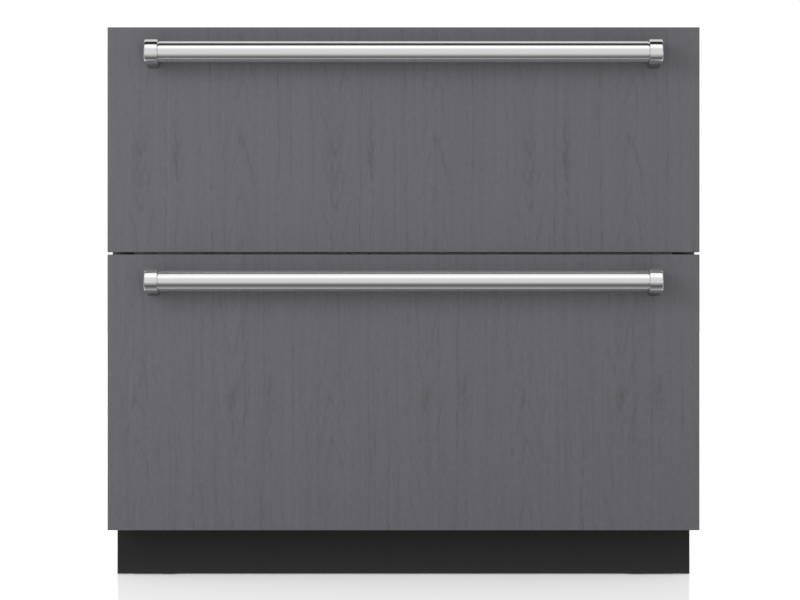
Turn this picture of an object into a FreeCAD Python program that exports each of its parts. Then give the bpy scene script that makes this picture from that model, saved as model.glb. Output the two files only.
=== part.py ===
"""Built-in undercounter refrigerator with two insulated drawers behind wooden front panels.

Millimetres, +Z up, the drawers open towards -Y. The origin is on the floor, in the middle of the
footprint that runs from the front of the handles to the back of the cabinet.
"""

import FreeCAD, Part
import math
import os

import Sketcher

Vector = FreeCAD.Vector
Rotation = FreeCAD.Rotation

DIMENSIONS = {
    # the front
    "panel_width": 908,
    "panel_thick": 19,
    "upper_panel_height": 345,
    "lower_panel_height": 423,
    "panel_gap": 3.5,
    "panel_edge_round": 1,
    "kick_height": 73,
    "unit_depth": 606,
    "handle_reach": 62,
    "handle_drop": 40.5,
    "handle_length": 788,
    "bar_radius": 15.875,
    "bar_wall": 1.6,
    "cap_radius": 18.8,
    "cap_width": 21,
    "cap_round": 1.8,
    "neck_width": 1.2,
    "neck_depth": 0.9,
    "spigot_length": 12,
    "post_half_height": 16.5,
    "post_foot": 24.4,
    "post_round": 4,
    "post_inset": 0.8,
    # the insulated drawer fronts
    "front_width": 880,
    "front_thick": 40,
    "front_margin": 6.5,
    "gasket_thick": 12,
    "gasket_width": 11,
    "gasket_margin": 3,
    # the cabinet
    "cabinet_width": 889,
    "cabinet_floor": 62,
    "cabinet_drop": 4.5,
    "wall_thick": 41,
    "floor_thick": 42,
    "skin": 1,
    "liner_skin": 2,
    "back_recess": 3,
    "back_foam": 36,
    "mullion_height": 48,
    "mullion_depth": 60,
    "bay_depth": 200,
    "bay_height": 200,
    "bay_foam": 30,
    "flange": 10,
    # the base
    "kick_clearance": 1,
    "kick_thick": 1.5,
    "kick_overlap": 5,
    "rail_bottom": 40,
    "side_rail_width": 40,
    "foot_x": 400,
    "foot_y": -165,
    "stud_radius": 5,
    "foot_radius": 22,
    "wheel_y": 285,
    "wheel_radius": 18,
    "wheel_width": 18,
    "axle_radius": 4,
    # the drawers and their slides
    "slide_length": 400,
    "slide_front": 6,
    "slide_depth": 12,
    "slide_half_height": 22.85,
    "slide_wall": 1.5,
    "ball_gap": 2.5,
    "upper_slide_height": 715,
    "lower_slide_height": 410,
    "arm_thick": 2,
    "tub_half_width": 374,
    "tub_wall": 3,
    "tub_corner": 25,
    "tub_bottom_round": 8,
    "tub_front": 8,
    "tub_back": 184,
    "upper_tub_floor": 530,
    "lower_tub_floor": 112,
    "lower_tub_step_back": 94,
    "lower_tub_step_height": 305,
    "shaft_y": 200,
    "shaft_radius": 4,
    "pinion_pitch_radius": 12,
    "pinion_teeth": 12,
    "tooth_half": 1.2,
    "tooth_top": 1.6,
    "tooth_root": 2.2,
    "gear_width": 8,
    # the refrigeration unit
    "compressor_x": 230,
    "compressor_y": 232,
    "compressor_radius": 70,
    "compressor_bottom": 81,
    "compressor_height": 141,
    "tube_radius": 4,
    "fan_height": 160,
    "condenser_x": -300,
    "evaporator_y": 262,
    "evaporator_bottom": 540,
    "evaporator_fan_height": 722,
    "duct_front": 224,
    "duct_half_width": 392,
    "drain_x": 270,
}

document = FreeCAD.newDocument("drawer_refrigerator")
sub_parts = []


class Size:
    """A length in millimetres, with the spreadsheet expression that gives it."""

    def __init__(self, value, text):
        self.value = float(value)
        self.text = text

    def __add__(self, other):
        other = size(other)
        return Size(self.value + other.value, f"({self.text} + {other.text})")

    def __sub__(self, other):
        other = size(other)
        return Size(self.value - other.value, f"({self.text} - {other.text})")

    def __mul__(self, factor):
        return Size(self.value * factor, f"({self.text} * {float(factor)!r})")

    def __truediv__(self, divisor):
        return Size(self.value / divisor, f"({self.text} / {float(divisor)!r})")

    def __radd__(self, other):
        return size(other) + self

    def __rmul__(self, factor):
        return self * factor

    def __rsub__(self, other):
        return size(other) - self

    def __neg__(self):
        return self * -1


def size(number):
    """A plain number as a Size; a Size stays as it is."""
    return number if isinstance(number, Size) else Size(number, f"({float(number)!r})")


class Dimensions:
    """The spreadsheet, and its cells as Sizes."""

    def __init__(self, cells):
        sheet = document.addObject("Spreadsheet::Sheet", "Dims")
        for row, (alias, number) in enumerate(cells.items(), start=1):
            sheet.set(f"A{row}", alias)
            sheet.set(f"B{row}", str(number))
            sheet.setAlias(f"B{row}", alias)
            setattr(self, alias, Size(number, f"Dims.{alias}"))
        document.recompute()


D = Dimensions(DIMENSIONS)

# ---------------------------------------------------------------- places that many pieces share

PANEL_HALF = D.panel_width / 2
PANEL_FRONT = (D.handle_reach - D.unit_depth) / 2
PANEL_BACK = PANEL_FRONT + D.panel_thick
FRONT_BACK = PANEL_BACK + D.front_thick
CABINET_FRONT = FRONT_BACK + D.gasket_thick
BACK = PANEL_FRONT + D.unit_depth
BACK_SHEET = BACK - D.back_recess - D.skin

LOWER_BOTTOM = D.kick_height
LOWER_TOP = LOWER_BOTTOM + D.lower_panel_height
UPPER_BOTTOM = LOWER_TOP + D.panel_gap
UPPER_TOP = UPPER_BOTTOM + D.upper_panel_height
GAP_MIDDLE = LOWER_TOP + D.panel_gap / 2

CABINET_HALF = D.cabinet_width / 2
CABINET_TOP = UPPER_TOP - D.cabinet_drop
SKIN_HALF = CABINET_HALF - D.skin
FLOOR = D.cabinet_floor + D.skin
ROOF = CABINET_TOP - D.skin
CAVITY_HALF = CABINET_HALF - D.wall_thick
CAVITY_FLOOR = D.cabinet_floor + D.floor_thick
CAVITY_TOP = CABINET_TOP - D.wall_thick
CAVITY_BACK = BACK_SHEET - D.back_foam - D.liner_skin
BAY_FRONT = BACK - D.bay_depth
BAY_TOP = D.cabinet_floor + D.bay_height
HUMP_FRONT = BAY_FRONT - D.bay_foam - D.liner_skin
HUMP_TOP = BAY_TOP + D.bay_foam + D.liner_skin

SLIDE_START = CABINET_FRONT + D.slide_front
SLIDE_END = SLIDE_START + D.slide_length
ARM_OUTSIDE = CAVITY_HALF - D.slide_depth - 0.7
ARM_INSIDE = ARM_OUTSIDE - D.arm_thick
ARM_HALF_HEIGHT = 23
SHAFT_DROP = 38
RACK_DROP = SHAFT_DROP + D.pinion_pitch_radius
GEAR_OUTSIDE = CAVITY_HALF - 1
BORE_CLEARANCE = 0.08

# ---------------------------------------------------------------- ways of making a piece


def bind(thing, name, length):
    thing.setExpression(name, size(length).text)


def place(thing, point):
    """Ties an object's position to the sheet."""
    for axis, length in zip("xyz", point):
        bind(thing, f"Placement.Base.{axis}", length)
    return thing


def block(name, low, high):
    """A box between two opposite corners."""
    box = document.addObject("Part::Box", name)
    for side, near, far in zip(("Length", "Width", "Height"), low, high):
        bind(box, side, size(far) - near)
    return place(box, low)


TURN_TO = {
    "X": Rotation(Vector(0, 1, 0), 90),
    "-X": Rotation(Vector(0, 1, 0), -90),
    "Y": Rotation(Vector(1, 0, 0), -90),
    "-Y": Rotation(Vector(1, 0, 0), 90),
    "Z": Rotation(),
}


def rod(name, start, length, radius, axis="Z"):
    """A cylinder that starts at a point and runs along an axis."""
    cylinder = document.addObject("Part::Cylinder", name)
    bind(cylinder, "Radius", radius)
    bind(cylinder, "Height", length)
    cylinder.Placement.Rotation = TURN_TO[axis]
    return place(cylinder, start)


def fuse(name, pieces):
    joined = document.addObject("Part::MultiFuse", name)
    joined.Shapes = pieces
    joined.Refine = True
    return joined


def cut(name, base, tools):
    taken = document.addObject("Part::Cut", name)
    taken.Base = base
    taken.Tool = tools[0] if len(tools) == 1 else fuse(f"{name}_tools", tools)
    return taken


def group(name, pieces):
    together = document.addObject("Part::Compound", name)
    together.Links = pieces
    return together


def mirrored(name, source):
    """The same piece on the other side of the middle plane."""
    other = document.addObject("Part::Mirroring", name)
    other.Source = source
    other.Normal = Vector(1, 0, 0)
    return other


def both_sides(name, source):
    return group(name, [source, mirrored(f"{name}_other", source)])


def new_sketch(body, name, plane="XZ_Plane"):
    sketch = body.newObject("Sketcher::SketchObject", name)
    support = next(f for f in body.Origin.OriginFeatures if f.Role == plane)
    sketch.AttachmentSupport = [(support, "")]
    sketch.MapMode = "FlatFace"
    return sketch


def pin_point(sketch, item, end, point):
    """Holds one point of a sketch at distances from its origin that the sheet gives."""
    for kind, length in zip(("DistanceX", "DistanceY"), point):
        length = size(length)
        number = sketch.addConstraint(Sketcher.Constraint(kind, -1, 1, item, end, length.value))
        sketch.setExpression(f"Constraints[{number}]", length.text)


def add_polygon(sketch, points):
    first = sketch.GeometryCount
    spots = [Vector(size(a).value, size(b).value, 0) for a, b in points]
    for start, end in zip(spots, spots[1:] + spots[:1]):
        sketch.addGeometry(Part.LineSegment(start, end), False)
    for index, point in enumerate(points):
        following = first + (index + 1) % len(points)
        sketch.addConstraint(Sketcher.Constraint("Coincident", first + index, 2, following, 1))
        pin_point(sketch, first + index, 1, point)


def add_circle(sketch, centre, radius):
    radius = size(radius)
    middle = Vector(size(centre[0]).value, size(centre[1]).value, 0)
    item = sketch.addGeometry(Part.Circle(middle, Vector(0, 0, 1), radius.value), False)
    pin_point(sketch, item, 3, centre)
    number = sketch.addConstraint(Sketcher.Constraint("Radius", item, radius.value))
    sketch.setExpression(f"Constraints[{number}]", radius.text)


def rectangle(low, high):
    return [low, (high[0], low[1]), high, (low[0], high[1])]


def pad(body, sketch, length, name="Pad"):
    feature = body.newObject("PartDesign::Pad", name)
    feature.Profile = sketch
    bind(feature, "Length", length)
    return feature


def pocket(body, sketch, length, reverse=False, name="Pocket"):
    feature = body.newObject("PartDesign::Pocket", name)
    feature.Profile = sketch
    feature.Reversed = reverse
    bind(feature, "Length", length)
    return feature


def repeat(body, feature, direction, step, count):
    """A row of copies of a feature, step apart, along a sketch axis."""
    pattern = body.newObject("PartDesign::LinearPattern", "Row")
    pattern.Originals = [feature]
    pattern.Direction = direction
    bind(pattern, "Length", size(step) * (count - 1))
    pattern.Occurrences = count
    body.Tip = pattern
    return pattern


def round_edges(body, radius, chosen, name="Round"):
    """Fillets the edges of a body's last feature for which chosen(edge) is true."""
    document.recompute()
    base = body.Tip
    names = [f"Edge{i}" for i, edge in enumerate(base.Shape.Edges, start=1) if chosen(edge)]
    fillet = body.newObject("PartDesign::Fillet", name)
    fillet.Base = (base, names)
    bind(fillet, "Radius", radius)
    return fillet


def runs_along(axis):
    """Picks the straight edges that run along one axis of the body."""
    return lambda edge: (
        edge.Curve.TypeId == "Part::GeomLine" and abs(edge.Curve.Direction.dot(axis)) > 0.99
    )


def at_height(z):
    """Picks the edges that lie flat at one height of the body."""
    return lambda edge: edge.BoundBox.ZLength < 0.01 and abs(edge.BoundBox.ZMin - z) < 0.01


def is_circle(radius):
    """Picks the circular edges of one radius."""
    return lambda edge: (
        edge.Curve.TypeId == "Part::GeomCircle" and abs(edge.Curve.Radius - radius.value) < 0.01
    )


def prism(name, plane, points, low, high, holes=(), rings=()):
    """A body: a closed outline in one plane, run from low to high across it.

    holes are further closed outlines inside it, and rings are circles (centre, radius) inside it.
    """
    body = document.addObject("PartDesign::Body", name)
    sketch = new_sketch(body, f"{name}_outline", plane)
    add_polygon(sketch, points)
    for hole in holes:
        add_polygon(sketch, hole)
    for centre, radius in rings:
        add_circle(sketch, centre, radius)
    pad(body, sketch, size(high) - low)
    start = {"XY_Plane": (0, 0, low), "XZ_Plane": (0, high, 0), "YZ_Plane": (low, 0, 0)}
    return place(body, start[plane])


def revolved(name, points, start, axis="Z"):
    """A body turned from a half outline of (radius, distance along the axis) points."""
    body = document.addObject("PartDesign::Body", name)
    sketch = new_sketch(body, f"{name}_outline")
    add_polygon(sketch, points)
    turned = body.newObject("PartDesign::Revolution", "Turned")
    turned.Profile = sketch
    turned.ReferenceAxis = (sketch, ["V_Axis"])
    turned.Angle = 360
    body.Placement.Rotation = TURN_TO[axis]
    return place(body, start)


def rounded_tank(name, low, high, corner, bottom, corners=lambda edge: True):
    """A box with rounded upright edges and a rounded bottom edge."""
    base, top = [(point[0], point[1]) for point in (low, high)]
    body = prism(name, "XY_Plane", rectangle(base, top), low[2], high[2])
    upright = runs_along(Vector(0, 0, 1))
    round_edges(body, corner, lambda edge: upright(edge) and corners(edge), "Corners")
    round_edges(body, bottom, at_height(0), "Bottom")
    return body


def shaped(name, shape, placement=FreeCAD.Placement()):
    """A piece whose shape comes from Part's own functions."""
    piece = document.addObject("Part::Feature", name)
    piece.Shape = shape
    piece.Placement = placement
    return piece


def route(points, radius):
    """Straight runs through the points, joined by tangent arcs of one radius."""
    points = [Vector(*(size(c).value for c in point)) for point in points]
    edges, start = [], points[0]
    for before, corner, after in zip(points, points[1:], points[2:]):
        back, ahead = (before - corner).normalize(), (after - corner).normalize()
        half = back.getAngle(ahead) / 2
        reach = radius / math.tan(half)
        middle = corner + (back + ahead).normalize() * (radius / math.sin(half) - radius)
        edges.append(Part.makeLine(start, corner + back * reach))
        edges.append(Part.Arc(corner + back * reach, middle, corner + ahead * reach).toShape())
        start = corner + ahead * reach
    edges.append(Part.makeLine(start, points[-1]))
    return Part.Wire(edges)


def pipe(path, radius):
    """A solid round tube along a wire."""
    start, ahead = path.Edges[0].valueAt(path.Edges[0].FirstParameter), path.Edges[0].tangentAt(0)
    disc = Part.Wire(Part.makeCircle(radius, start, ahead))
    return path.makePipeShell([disc], True, False)


def sub_part(label, thing):
    """Names a finished piece; its label names its file."""
    thing.Label = label
    sub_parts.append(thing)
    return thing


# ---------------------------------------------------------------- cabinet


def make_outer_shell():
    """Sheet steel wrapper: two sides and the top in one, with a folded flange round the front."""
    wrapper = [
        (-CABINET_HALF, D.cabinet_floor),
        (-CABINET_HALF, CABINET_TOP),
        (CABINET_HALF, CABINET_TOP),
        (CABINET_HALF, D.cabinet_floor),
        (SKIN_HALF, D.cabinet_floor),
        (SKIN_HALF, ROOF),
        (-SKIN_HALF, ROOF),
        (-SKIN_HALF, D.cabinet_floor),
    ]
    flange = [
        (-SKIN_HALF, D.cabinet_floor),
        (-SKIN_HALF, ROOF),
        (SKIN_HALF, ROOF),
        (SKIN_HALF, D.cabinet_floor),
        (CAVITY_HALF, D.cabinet_floor),
        (CAVITY_HALF, CAVITY_TOP),
        (-CAVITY_HALF, CAVITY_TOP),
        (-CAVITY_HALF, D.cabinet_floor),
    ]
    sheet = prism("wrapper", "XZ_Plane", wrapper, CABINET_FRONT, BACK)
    front = prism("front_flange", "XZ_Plane", flange, CABINET_FRONT, CABINET_FRONT + D.skin)
    sub_part("outer_shell", fuse("outer_shell", [sheet, front]))


SCREW_X = (-400, -133, 133, 400)
SCREW_ROWS = (FLOOR + D.flange / 2, BAY_TOP - D.skin - D.flange / 2)
SCREW_RADIUS = 2


def screw_holes(name, rows, radius=SCREW_RADIUS + 0.05):
    return [
        rod(f"{name}_hole", (x, BACK_SHEET - 2 * D.skin, z), 4, radius, "Y")
        for z in rows
        for x in SCREW_X
    ]


def make_base_pan():
    """Cabinet floor: one sheet with a lip up the front and a screw flange up the back."""
    front = CABINET_FRONT + D.skin
    floor = block("floor_sheet", (-SKIN_HALF, front, D.cabinet_floor), (SKIN_HALF, BACK_SHEET, FLOOR))
    lip = block(
        "front_lip", (-CAVITY_HALF, CABINET_FRONT, D.cabinet_floor), (CAVITY_HALF, front, CAVITY_FLOOR)
    )
    back = block(
        "back_lip",
        (-SKIN_HALF, BACK_SHEET - D.skin, D.cabinet_floor),
        (SKIN_HALF, BACK_SHEET, FLOOR + D.flange),
    )
    sheet = fuse("base_sheet", [floor, lip, back])
    sub_part("base_pan", cut("base_pan", sheet, screw_holes("base", SCREW_ROWS[:1])))


def liner_outline(inset):
    """Side view of the cavity: a box with a step up over the machine bay, grown by inset."""
    front = CABINET_FRONT + D.skin
    return [
        (front, CAVITY_FLOOR - inset),
        (HUMP_FRONT + inset, CAVITY_FLOOR - inset),
        (HUMP_FRONT + inset, HUMP_TOP - inset),
        (CAVITY_BACK + inset, HUMP_TOP - inset),
        (CAVITY_BACK + inset, CAVITY_TOP + inset),
        (front, CAVITY_TOP + inset),
    ]


LINE_HOLES = ((345, 4.0), (-370, 1.5))
DRAIN_RADIUS = 8


def bay_roof_holes(name):
    """Where the drain and the two refrigerant lines pass down into the machine bay."""
    low, height = BAY_TOP - 5, D.bay_foam + 10
    lines = [
        rod(f"{name}_line", (x, D.evaporator_y, low), height, radius + 1) for x, radius in LINE_HOLES
    ]
    drain = rod(f"{name}_drain", (D.drain_x, D.compressor_y, low), height, DRAIN_RADIUS + 0.2)
    return [*lines, drain]


def make_inner_liner():
    """Moulded plastic cavity, open at the front, stepped over the machine bay."""
    outside, inside = CAVITY_HALF + D.liner_skin, CAVITY_HALF
    outer = prism("liner_outside", "YZ_Plane", liner_outline(D.liner_skin), -outside, outside)
    inner = prism("liner_inside", "YZ_Plane", liner_outline(0), -inside, inside)
    moulding = cut("liner_moulding", outer, [inner])
    sub_part("inner_liner", cut("inner_liner", moulding, bay_roof_holes("liner")))


def make_foam():
    """Insulation that fills the space between wrapper and liner."""
    outside = CAVITY_HALF + D.liner_skin
    slab = block(
        "foam_slab", (-SKIN_HALF, CABINET_FRONT + D.skin, FLOOR), (SKIN_HALF, BACK_SHEET, ROOF)
    )
    cavity = prism("foam_cavity", "YZ_Plane", liner_outline(D.liner_skin), -outside, outside)
    bay = block("foam_bay", (-CABINET_HALF, BAY_FRONT, 0), (CABINET_HALF, BACK, BAY_TOP))
    sub_part("foam_insulation", cut("foam", slab, [cavity, bay, *bay_roof_holes("foam")]))


def make_bay_panel():
    """Sheet that separates the machine bay from the foam: a front wall, a roof and a back flange."""
    roof, front = BAY_TOP - D.skin, BAY_FRONT + D.skin
    lip = BACK_SHEET - D.skin
    outline = [
        (BAY_FRONT, FLOOR),
        (front, FLOOR),
        (front, roof),
        (lip, roof),
        (lip, roof - D.flange),
        (BACK_SHEET, roof - D.flange),
        (BACK_SHEET, BAY_TOP),
        (BAY_FRONT, BAY_TOP),
    ]
    sheet = prism("bay_sheet", "YZ_Plane", outline, -SKIN_HALF, SKIN_HALF)
    holes = bay_roof_holes("bay") + screw_holes("bay", SCREW_ROWS[1:])
    sub_part("bay_panel", cut("bay_panel", sheet, holes))


def make_back_panel():
    """Back sheet above the machine bay, with pressed beads."""
    low, high = (-SKIN_HALF, BAY_TOP), (SKIN_HALF, ROOF)
    body = prism("back_panel", "XZ_Plane", rectangle(low, high), BACK_SHEET, BACK_SHEET + D.skin)
    bead_half, bead_height, bead_step, beads = 360, 18, 118, 5
    first = BAY_TOP + 45
    sketch = new_sketch(body, "bead")
    add_polygon(sketch, rectangle((-bead_half, first), (bead_half, first + bead_height)))
    bead = pad(body, sketch, D.back_recess - 0.5, "Bead")
    bead.Reversed = True
    repeat(body, bead, (sketch, ["V_Axis"]), bead_step, beads)
    sub_part("back_panel", body)


INLET_X, INLET_Z = 360, 105
INLET_HALF_WIDTH, INLET_HALF_HEIGHT = 14, 10


def make_rear_cover():
    """Louvred sheet over the back of the machine bay."""
    clear = 0.5
    low, high = (-SKIN_HALF + clear, FLOOR + clear), (SKIN_HALF - clear, BAY_TOP - clear)
    body = prism("rear_sheet", "XZ_Plane", rectangle(low, high), BACK_SHEET, BACK_SHEET + D.skin)
    slot_width, slot_step = 7, 15
    for name, first, count in (("intake", -385, 17), ("outlet", 30, 19)):
        sketch = new_sketch(body, f"{name}_slot")
        slot = rectangle((first, 95), (first + slot_width, 235))
        add_polygon(sketch, slot)
        vent = pocket(body, sketch, 3, name=f"{name}_vent")
        vent.SideType = "Symmetric"
        repeat(body, vent, (sketch, ["H_Axis"]), slot_step, count)
    inlet = block(
        "inlet_window",
        (INLET_X - INLET_HALF_WIDTH, BACK_SHEET - 2, INLET_Z - INLET_HALF_HEIGHT),
        (INLET_X + INLET_HALF_WIDTH, BACK_SHEET + 4, INLET_Z + INLET_HALF_HEIGHT),
    )
    holes = screw_holes("rear", SCREW_ROWS)
    sub_part("rear_cover", cut("rear_cover", body, [inlet, *holes]))


def make_rear_cover_screws():
    """Pan-head screws, two rows of four."""
    head, shank = 4, 8
    shaft = [(0, -shank), (SCREW_RADIUS, -shank), (SCREW_RADIUS, 0)]
    outline = [*shaft, (head, 0), (head, 1.2), (3, 2), (0, 2)]
    screws = [
        revolved("screw", outline, (x, BACK_SHEET + D.skin, z), "Y") for z in SCREW_ROWS for x in SCREW_X
    ]
    sub_part("rear_cover_screws", group("rear_cover_screws", screws))


def make_mullion():
    """Crossbar between the drawers that both gaskets close on."""
    half = D.mullion_height / 2
    front, back = CABINET_FRONT, CABINET_FRONT + D.mullion_depth
    slope = 8
    outline = [
        (front, GAP_MIDDLE - half),
        (back - slope, GAP_MIDDLE - half),
        (back, GAP_MIDDLE - half + slope),
        (back, GAP_MIDDLE + half - slope),
        (back - slope, GAP_MIDDLE + half),
        (front, GAP_MIDDLE + half),
    ]
    sub_part("mullion", prism("mullion", "YZ_Plane", outline, -CAVITY_HALF, CAVITY_HALF))


COUNTER_X = 385
COUNTER_Y = (PANEL_BACK + 17, PANEL_BACK + 39)
COUNTER_HOLE = 2.75


def make_counter_brackets():
    """Tabs on the roof that reach forward, for screws up into the countertop."""
    low, high = 365, 405
    thick = 1.5
    sheet = prism(
        "counter_tab",
        "XY_Plane",
        rectangle((low, PANEL_BACK + 6), (high, CABINET_FRONT + 55)),
        CABINET_TOP,
        CABINET_TOP + thick,
        rings=[((COUNTER_X, y), COUNTER_HOLE) for y in COUNTER_Y],
    )
    round_edges(sheet, 6, runs_along(Vector(0, 0, 1)))
    sub_part("counter_brackets", both_sides("counter_brackets", sheet))

# ---------------------------------------------------------------- base


def make_base_frame():
    """Two box-section side rails with weld nuts, and two cross members between them."""
    inner, outer = D.foot_x - D.side_rail_width / 2, D.foot_x + D.side_rail_width / 2
    wall = 2
    section = rectangle((inner, D.rail_bottom), (outer, D.cabinet_floor))
    hollow = rectangle((inner + wall, D.rail_bottom + wall), (outer - wall, D.cabinet_floor - wall))
    tube = prism("side_rail", "XZ_Plane", section, CABINET_FRONT + 11, BACK - 9, holes=[hollow])
    nut_bottom = D.cabinet_floor - 14
    nut = rod("weld_nut", (D.foot_x, D.foot_y, nut_bottom), 12.5, 11)
    through = rod("stud_bore", (D.foot_x, D.foot_y, 30), 29.5, D.stud_radius + BORE_CLEARANCE)
    rail = cut("side_rail_bored", fuse("side_rail_nut", [tube, nut]), [through])
    side = fuse("side_rail_with_fork", [rail, make_roller_fork()])
    members = [
        block("cross_member", (-inner, y, D.rail_bottom + 3), (inner, y + 30, D.cabinet_floor))
        for y in (-120, 60)
    ]
    frame = fuse("base_frame", [side, mirrored("side_rail_other", side), *members])
    sub_part("base_frame", frame)


def make_kick_plate():
    """Black plate below the drawers, folded back at both ends and along the floor."""
    front = CABINET_FRONT - D.kick_thick
    top = D.kick_height + D.kick_overlap
    fold, fold_top = 22, D.cabinet_floor - 0.5
    inside = CABINET_HALF - D.kick_thick
    floor_edge = D.kick_clearance + D.kick_thick
    low, high = (-CABINET_HALF, front, D.kick_clearance), (CABINET_HALF, CABINET_FRONT, top)
    face = block("kick_face", low, high)
    ends = [
        block("kick_end", (low, CABINET_FRONT, D.kick_clearance), (high, CABINET_FRONT + fold, fold_top))
        for low, high in ((inside, CABINET_HALF), (-CABINET_HALF, -inside))
    ]
    foot_low = (-inside, CABINET_FRONT, D.kick_clearance)
    foot = block("kick_foot", foot_low, (inside, CABINET_FRONT + 12, floor_edge))
    sub_part("kick_plate", fuse("kick_plate", [face, *ends, foot]))


def make_foot(side, x):
    """Levelling foot: a threaded stud with a spanner hexagon and a wide pad."""
    stud, pad_radius = D.stud_radius, D.foot_radius
    stud_top = D.cabinet_floor - 5.5
    outline = [
        (0, 0),
        (pad_radius - 2, 0),
        (pad_radius, 2),
        (pad_radius, 6),
        (9, 9),
        (stud, 9),
        (stud, stud_top),
        (0, stud_top),
    ]
    turned = revolved(f"{side}_foot_turned", outline, (x, D.foot_y, 0))
    hexagon = document.addObject("Part::Prism", f"{side}_foot_hexagon")
    hexagon.Polygon = 6
    hexagon.Circumradius = 9.8
    hexagon.Height = 8
    place(hexagon, (x, D.foot_y, 8.5))
    sub_part(f"{side}_foot", fuse(f"{side}_foot", [turned, hexagon]))


def make_roller_fork():
    """Bracket under the back of a side rail that holds a roller, with its riveted axle."""
    gap, sheet = D.wheel_width / 2 + 1, 2.5
    top, cheek_half = D.rail_bottom, 12
    y = D.wheel_y
    cheeks = [
        block("fork_cheek", (D.foot_x + low, y - cheek_half, 9), (D.foot_x + high, y + cheek_half, top))
        for low, high in ((gap, gap + sheet), (-gap - sheet, -gap))
    ]
    plate = block(
        "fork_plate", (D.foot_x - gap, y - cheek_half, top - sheet), (D.foot_x + gap, y + cheek_half, top)
    )
    axle_half = gap + sheet + 1.5
    axle = rod("fork_axle", (D.foot_x - axle_half, y, D.wheel_radius), axle_half * 2, D.axle_radius, "X")
    return fuse("fork", [*cheeks, plate, axle])


def make_roller(side, x):
    """Solid roller with a slightly recessed hub."""
    half, tyre, bore = D.wheel_width / 2, D.wheel_radius, D.axle_radius + BORE_CLEARANCE
    outline = [
        (bore, -half),
        (8, -half),
        (9, -half + 2),
        (tyre - 4, -half + 2),
        (tyre - 3, -half),
        (tyre - 1, -half),
        (tyre, -half + 1),
        (tyre, half - 1),
        (tyre - 1, half),
        (tyre - 3, half),
        (tyre - 4, half - 2),
        (9, half - 2),
        (8, half),
        (bore, half),
    ]
    sub_part(f"{side}_roller", revolved(f"{side}_roller", outline, (x, D.wheel_y, tyre), "X"))


# ---------------------------------------------------------------- drawers


def make_panel(prefix, bottom, top):
    """Wooden front panel with eased edges."""
    outline = rectangle((-PANEL_HALF, bottom), (PANEL_HALF, top))
    body = prism(f"{prefix}_panel", "XZ_Plane", outline, PANEL_FRONT, PANEL_BACK)
    round_edges(body, D.panel_edge_round, lambda edge: True)
    sub_part(f"{prefix}_panel", body)


def make_front_box(prefix, bottom, top):
    """Insulated drawer front behind the panel: a steel pan, a filled plastic core and the gasket."""
    half, low, high = D.front_width / 2, bottom + D.front_margin, top - D.front_margin
    inside, lip = half - D.skin, FRONT_BACK - D.skin
    shell = block(f"{prefix}_pan_outside", (-half, PANEL_BACK, low), (half, lip, high))
    hollow_low = (-inside, PANEL_BACK + D.skin, low + D.skin)
    hollow_high = (inside, FRONT_BACK, high - D.skin)
    hollow = block(f"{prefix}_pan_inside", hollow_low, hollow_high)
    sub_part(f"{prefix}_front_pan", cut(f"{prefix}_front_pan", shell, [hollow]))
    sub_part(f"{prefix}_front_core", block(f"{prefix}_front_core", hollow_low, hollow_high))

    def ring(inset):
        edge = D.gasket_margin + inset
        return rectangle((-half + edge, low + edge), (half - edge, high - edge))

    gasket = prism(
        f"{prefix}_gasket", "XZ_Plane", ring(0), FRONT_BACK, CABINET_FRONT, holes=[ring(D.gasket_width)]
    )
    sub_part(f"{prefix}_gasket", gasket)


def make_handle(prefix, top):
    """Round bar between two capped end posts, with a narrow groove where it leaves each cap."""
    axis_y, axis_z = PANEL_FRONT - D.handle_reach + D.cap_radius, top - D.handle_drop
    half = D.handle_length / 2
    bar_half = half - D.cap_width - D.neck_width
    solid = rod(f"{prefix}_bar_outside", (-bar_half, axis_y, axis_z), bar_half * 2, D.bar_radius, "X")
    inside = D.bar_radius - D.bar_wall
    hollow = rod(f"{prefix}_bar_inside", (-bar_half, axis_y, axis_z), bar_half * 2, inside, "X")
    sub_part(f"{prefix}_handle_bar", cut(f"{prefix}_handle_bar", solid, [hollow]))

    cap, width = D.cap_radius, D.cap_width
    neck, neck_end = D.bar_radius - D.neck_depth, half - bar_half
    spigot, reach = inside - 0.1, neck_end + D.spigot_length
    outline = [
        (0, 0),
        (cap, 0),
        (cap, width),
        (neck, width),
        (neck, neck_end),
        (spigot, neck_end),
        (spigot, reach),
        (0, reach),
    ]
    turned = revolved(f"{prefix}_cap", outline, (half, axis_y, axis_z), "-X")
    round_edges(turned, D.cap_round, is_circle(cap))
    end = fuse(f"{prefix}_handle_end", [turned, make_post(prefix, axis_y, axis_z)])
    sub_part(f"{prefix}_handle_ends", both_sides(f"{prefix}_handle_ends", end))


def make_post(prefix, axis_y, axis_z):
    """Post from a cap to the panel, flared above and below towards its rounded foot."""
    slim, foot, steps = D.post_half_height, D.post_foot, 8
    depth = PANEL_FRONT - axis_y
    flare = [
        (axis_y + depth * (i / steps), slim + (foot - slim) * (i / steps) ** 2) for i in range(steps + 1)
    ]
    above = [(y, axis_z + reach) for y, reach in flare]
    below = [(y, axis_z - reach) for y, reach in flare]
    inner = D.handle_length / 2 - D.cap_width + D.post_inset
    outer = D.handle_length / 2 - D.post_inset
    flared = prism(f"{prefix}_post_side", "YZ_Plane", above + below[::-1], inner, outer)
    front = rectangle((inner, axis_z - foot), (outer, axis_z + foot))
    rounded = prism(f"{prefix}_post_front", "XZ_Plane", front, axis_y, PANEL_FRONT)
    round_edges(rounded, D.post_round, runs_along(Vector(0, 1, 0)))
    post = document.addObject("Part::MultiCommon", f"{prefix}_post")
    post.Shapes = [flared, rounded]
    return post


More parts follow.
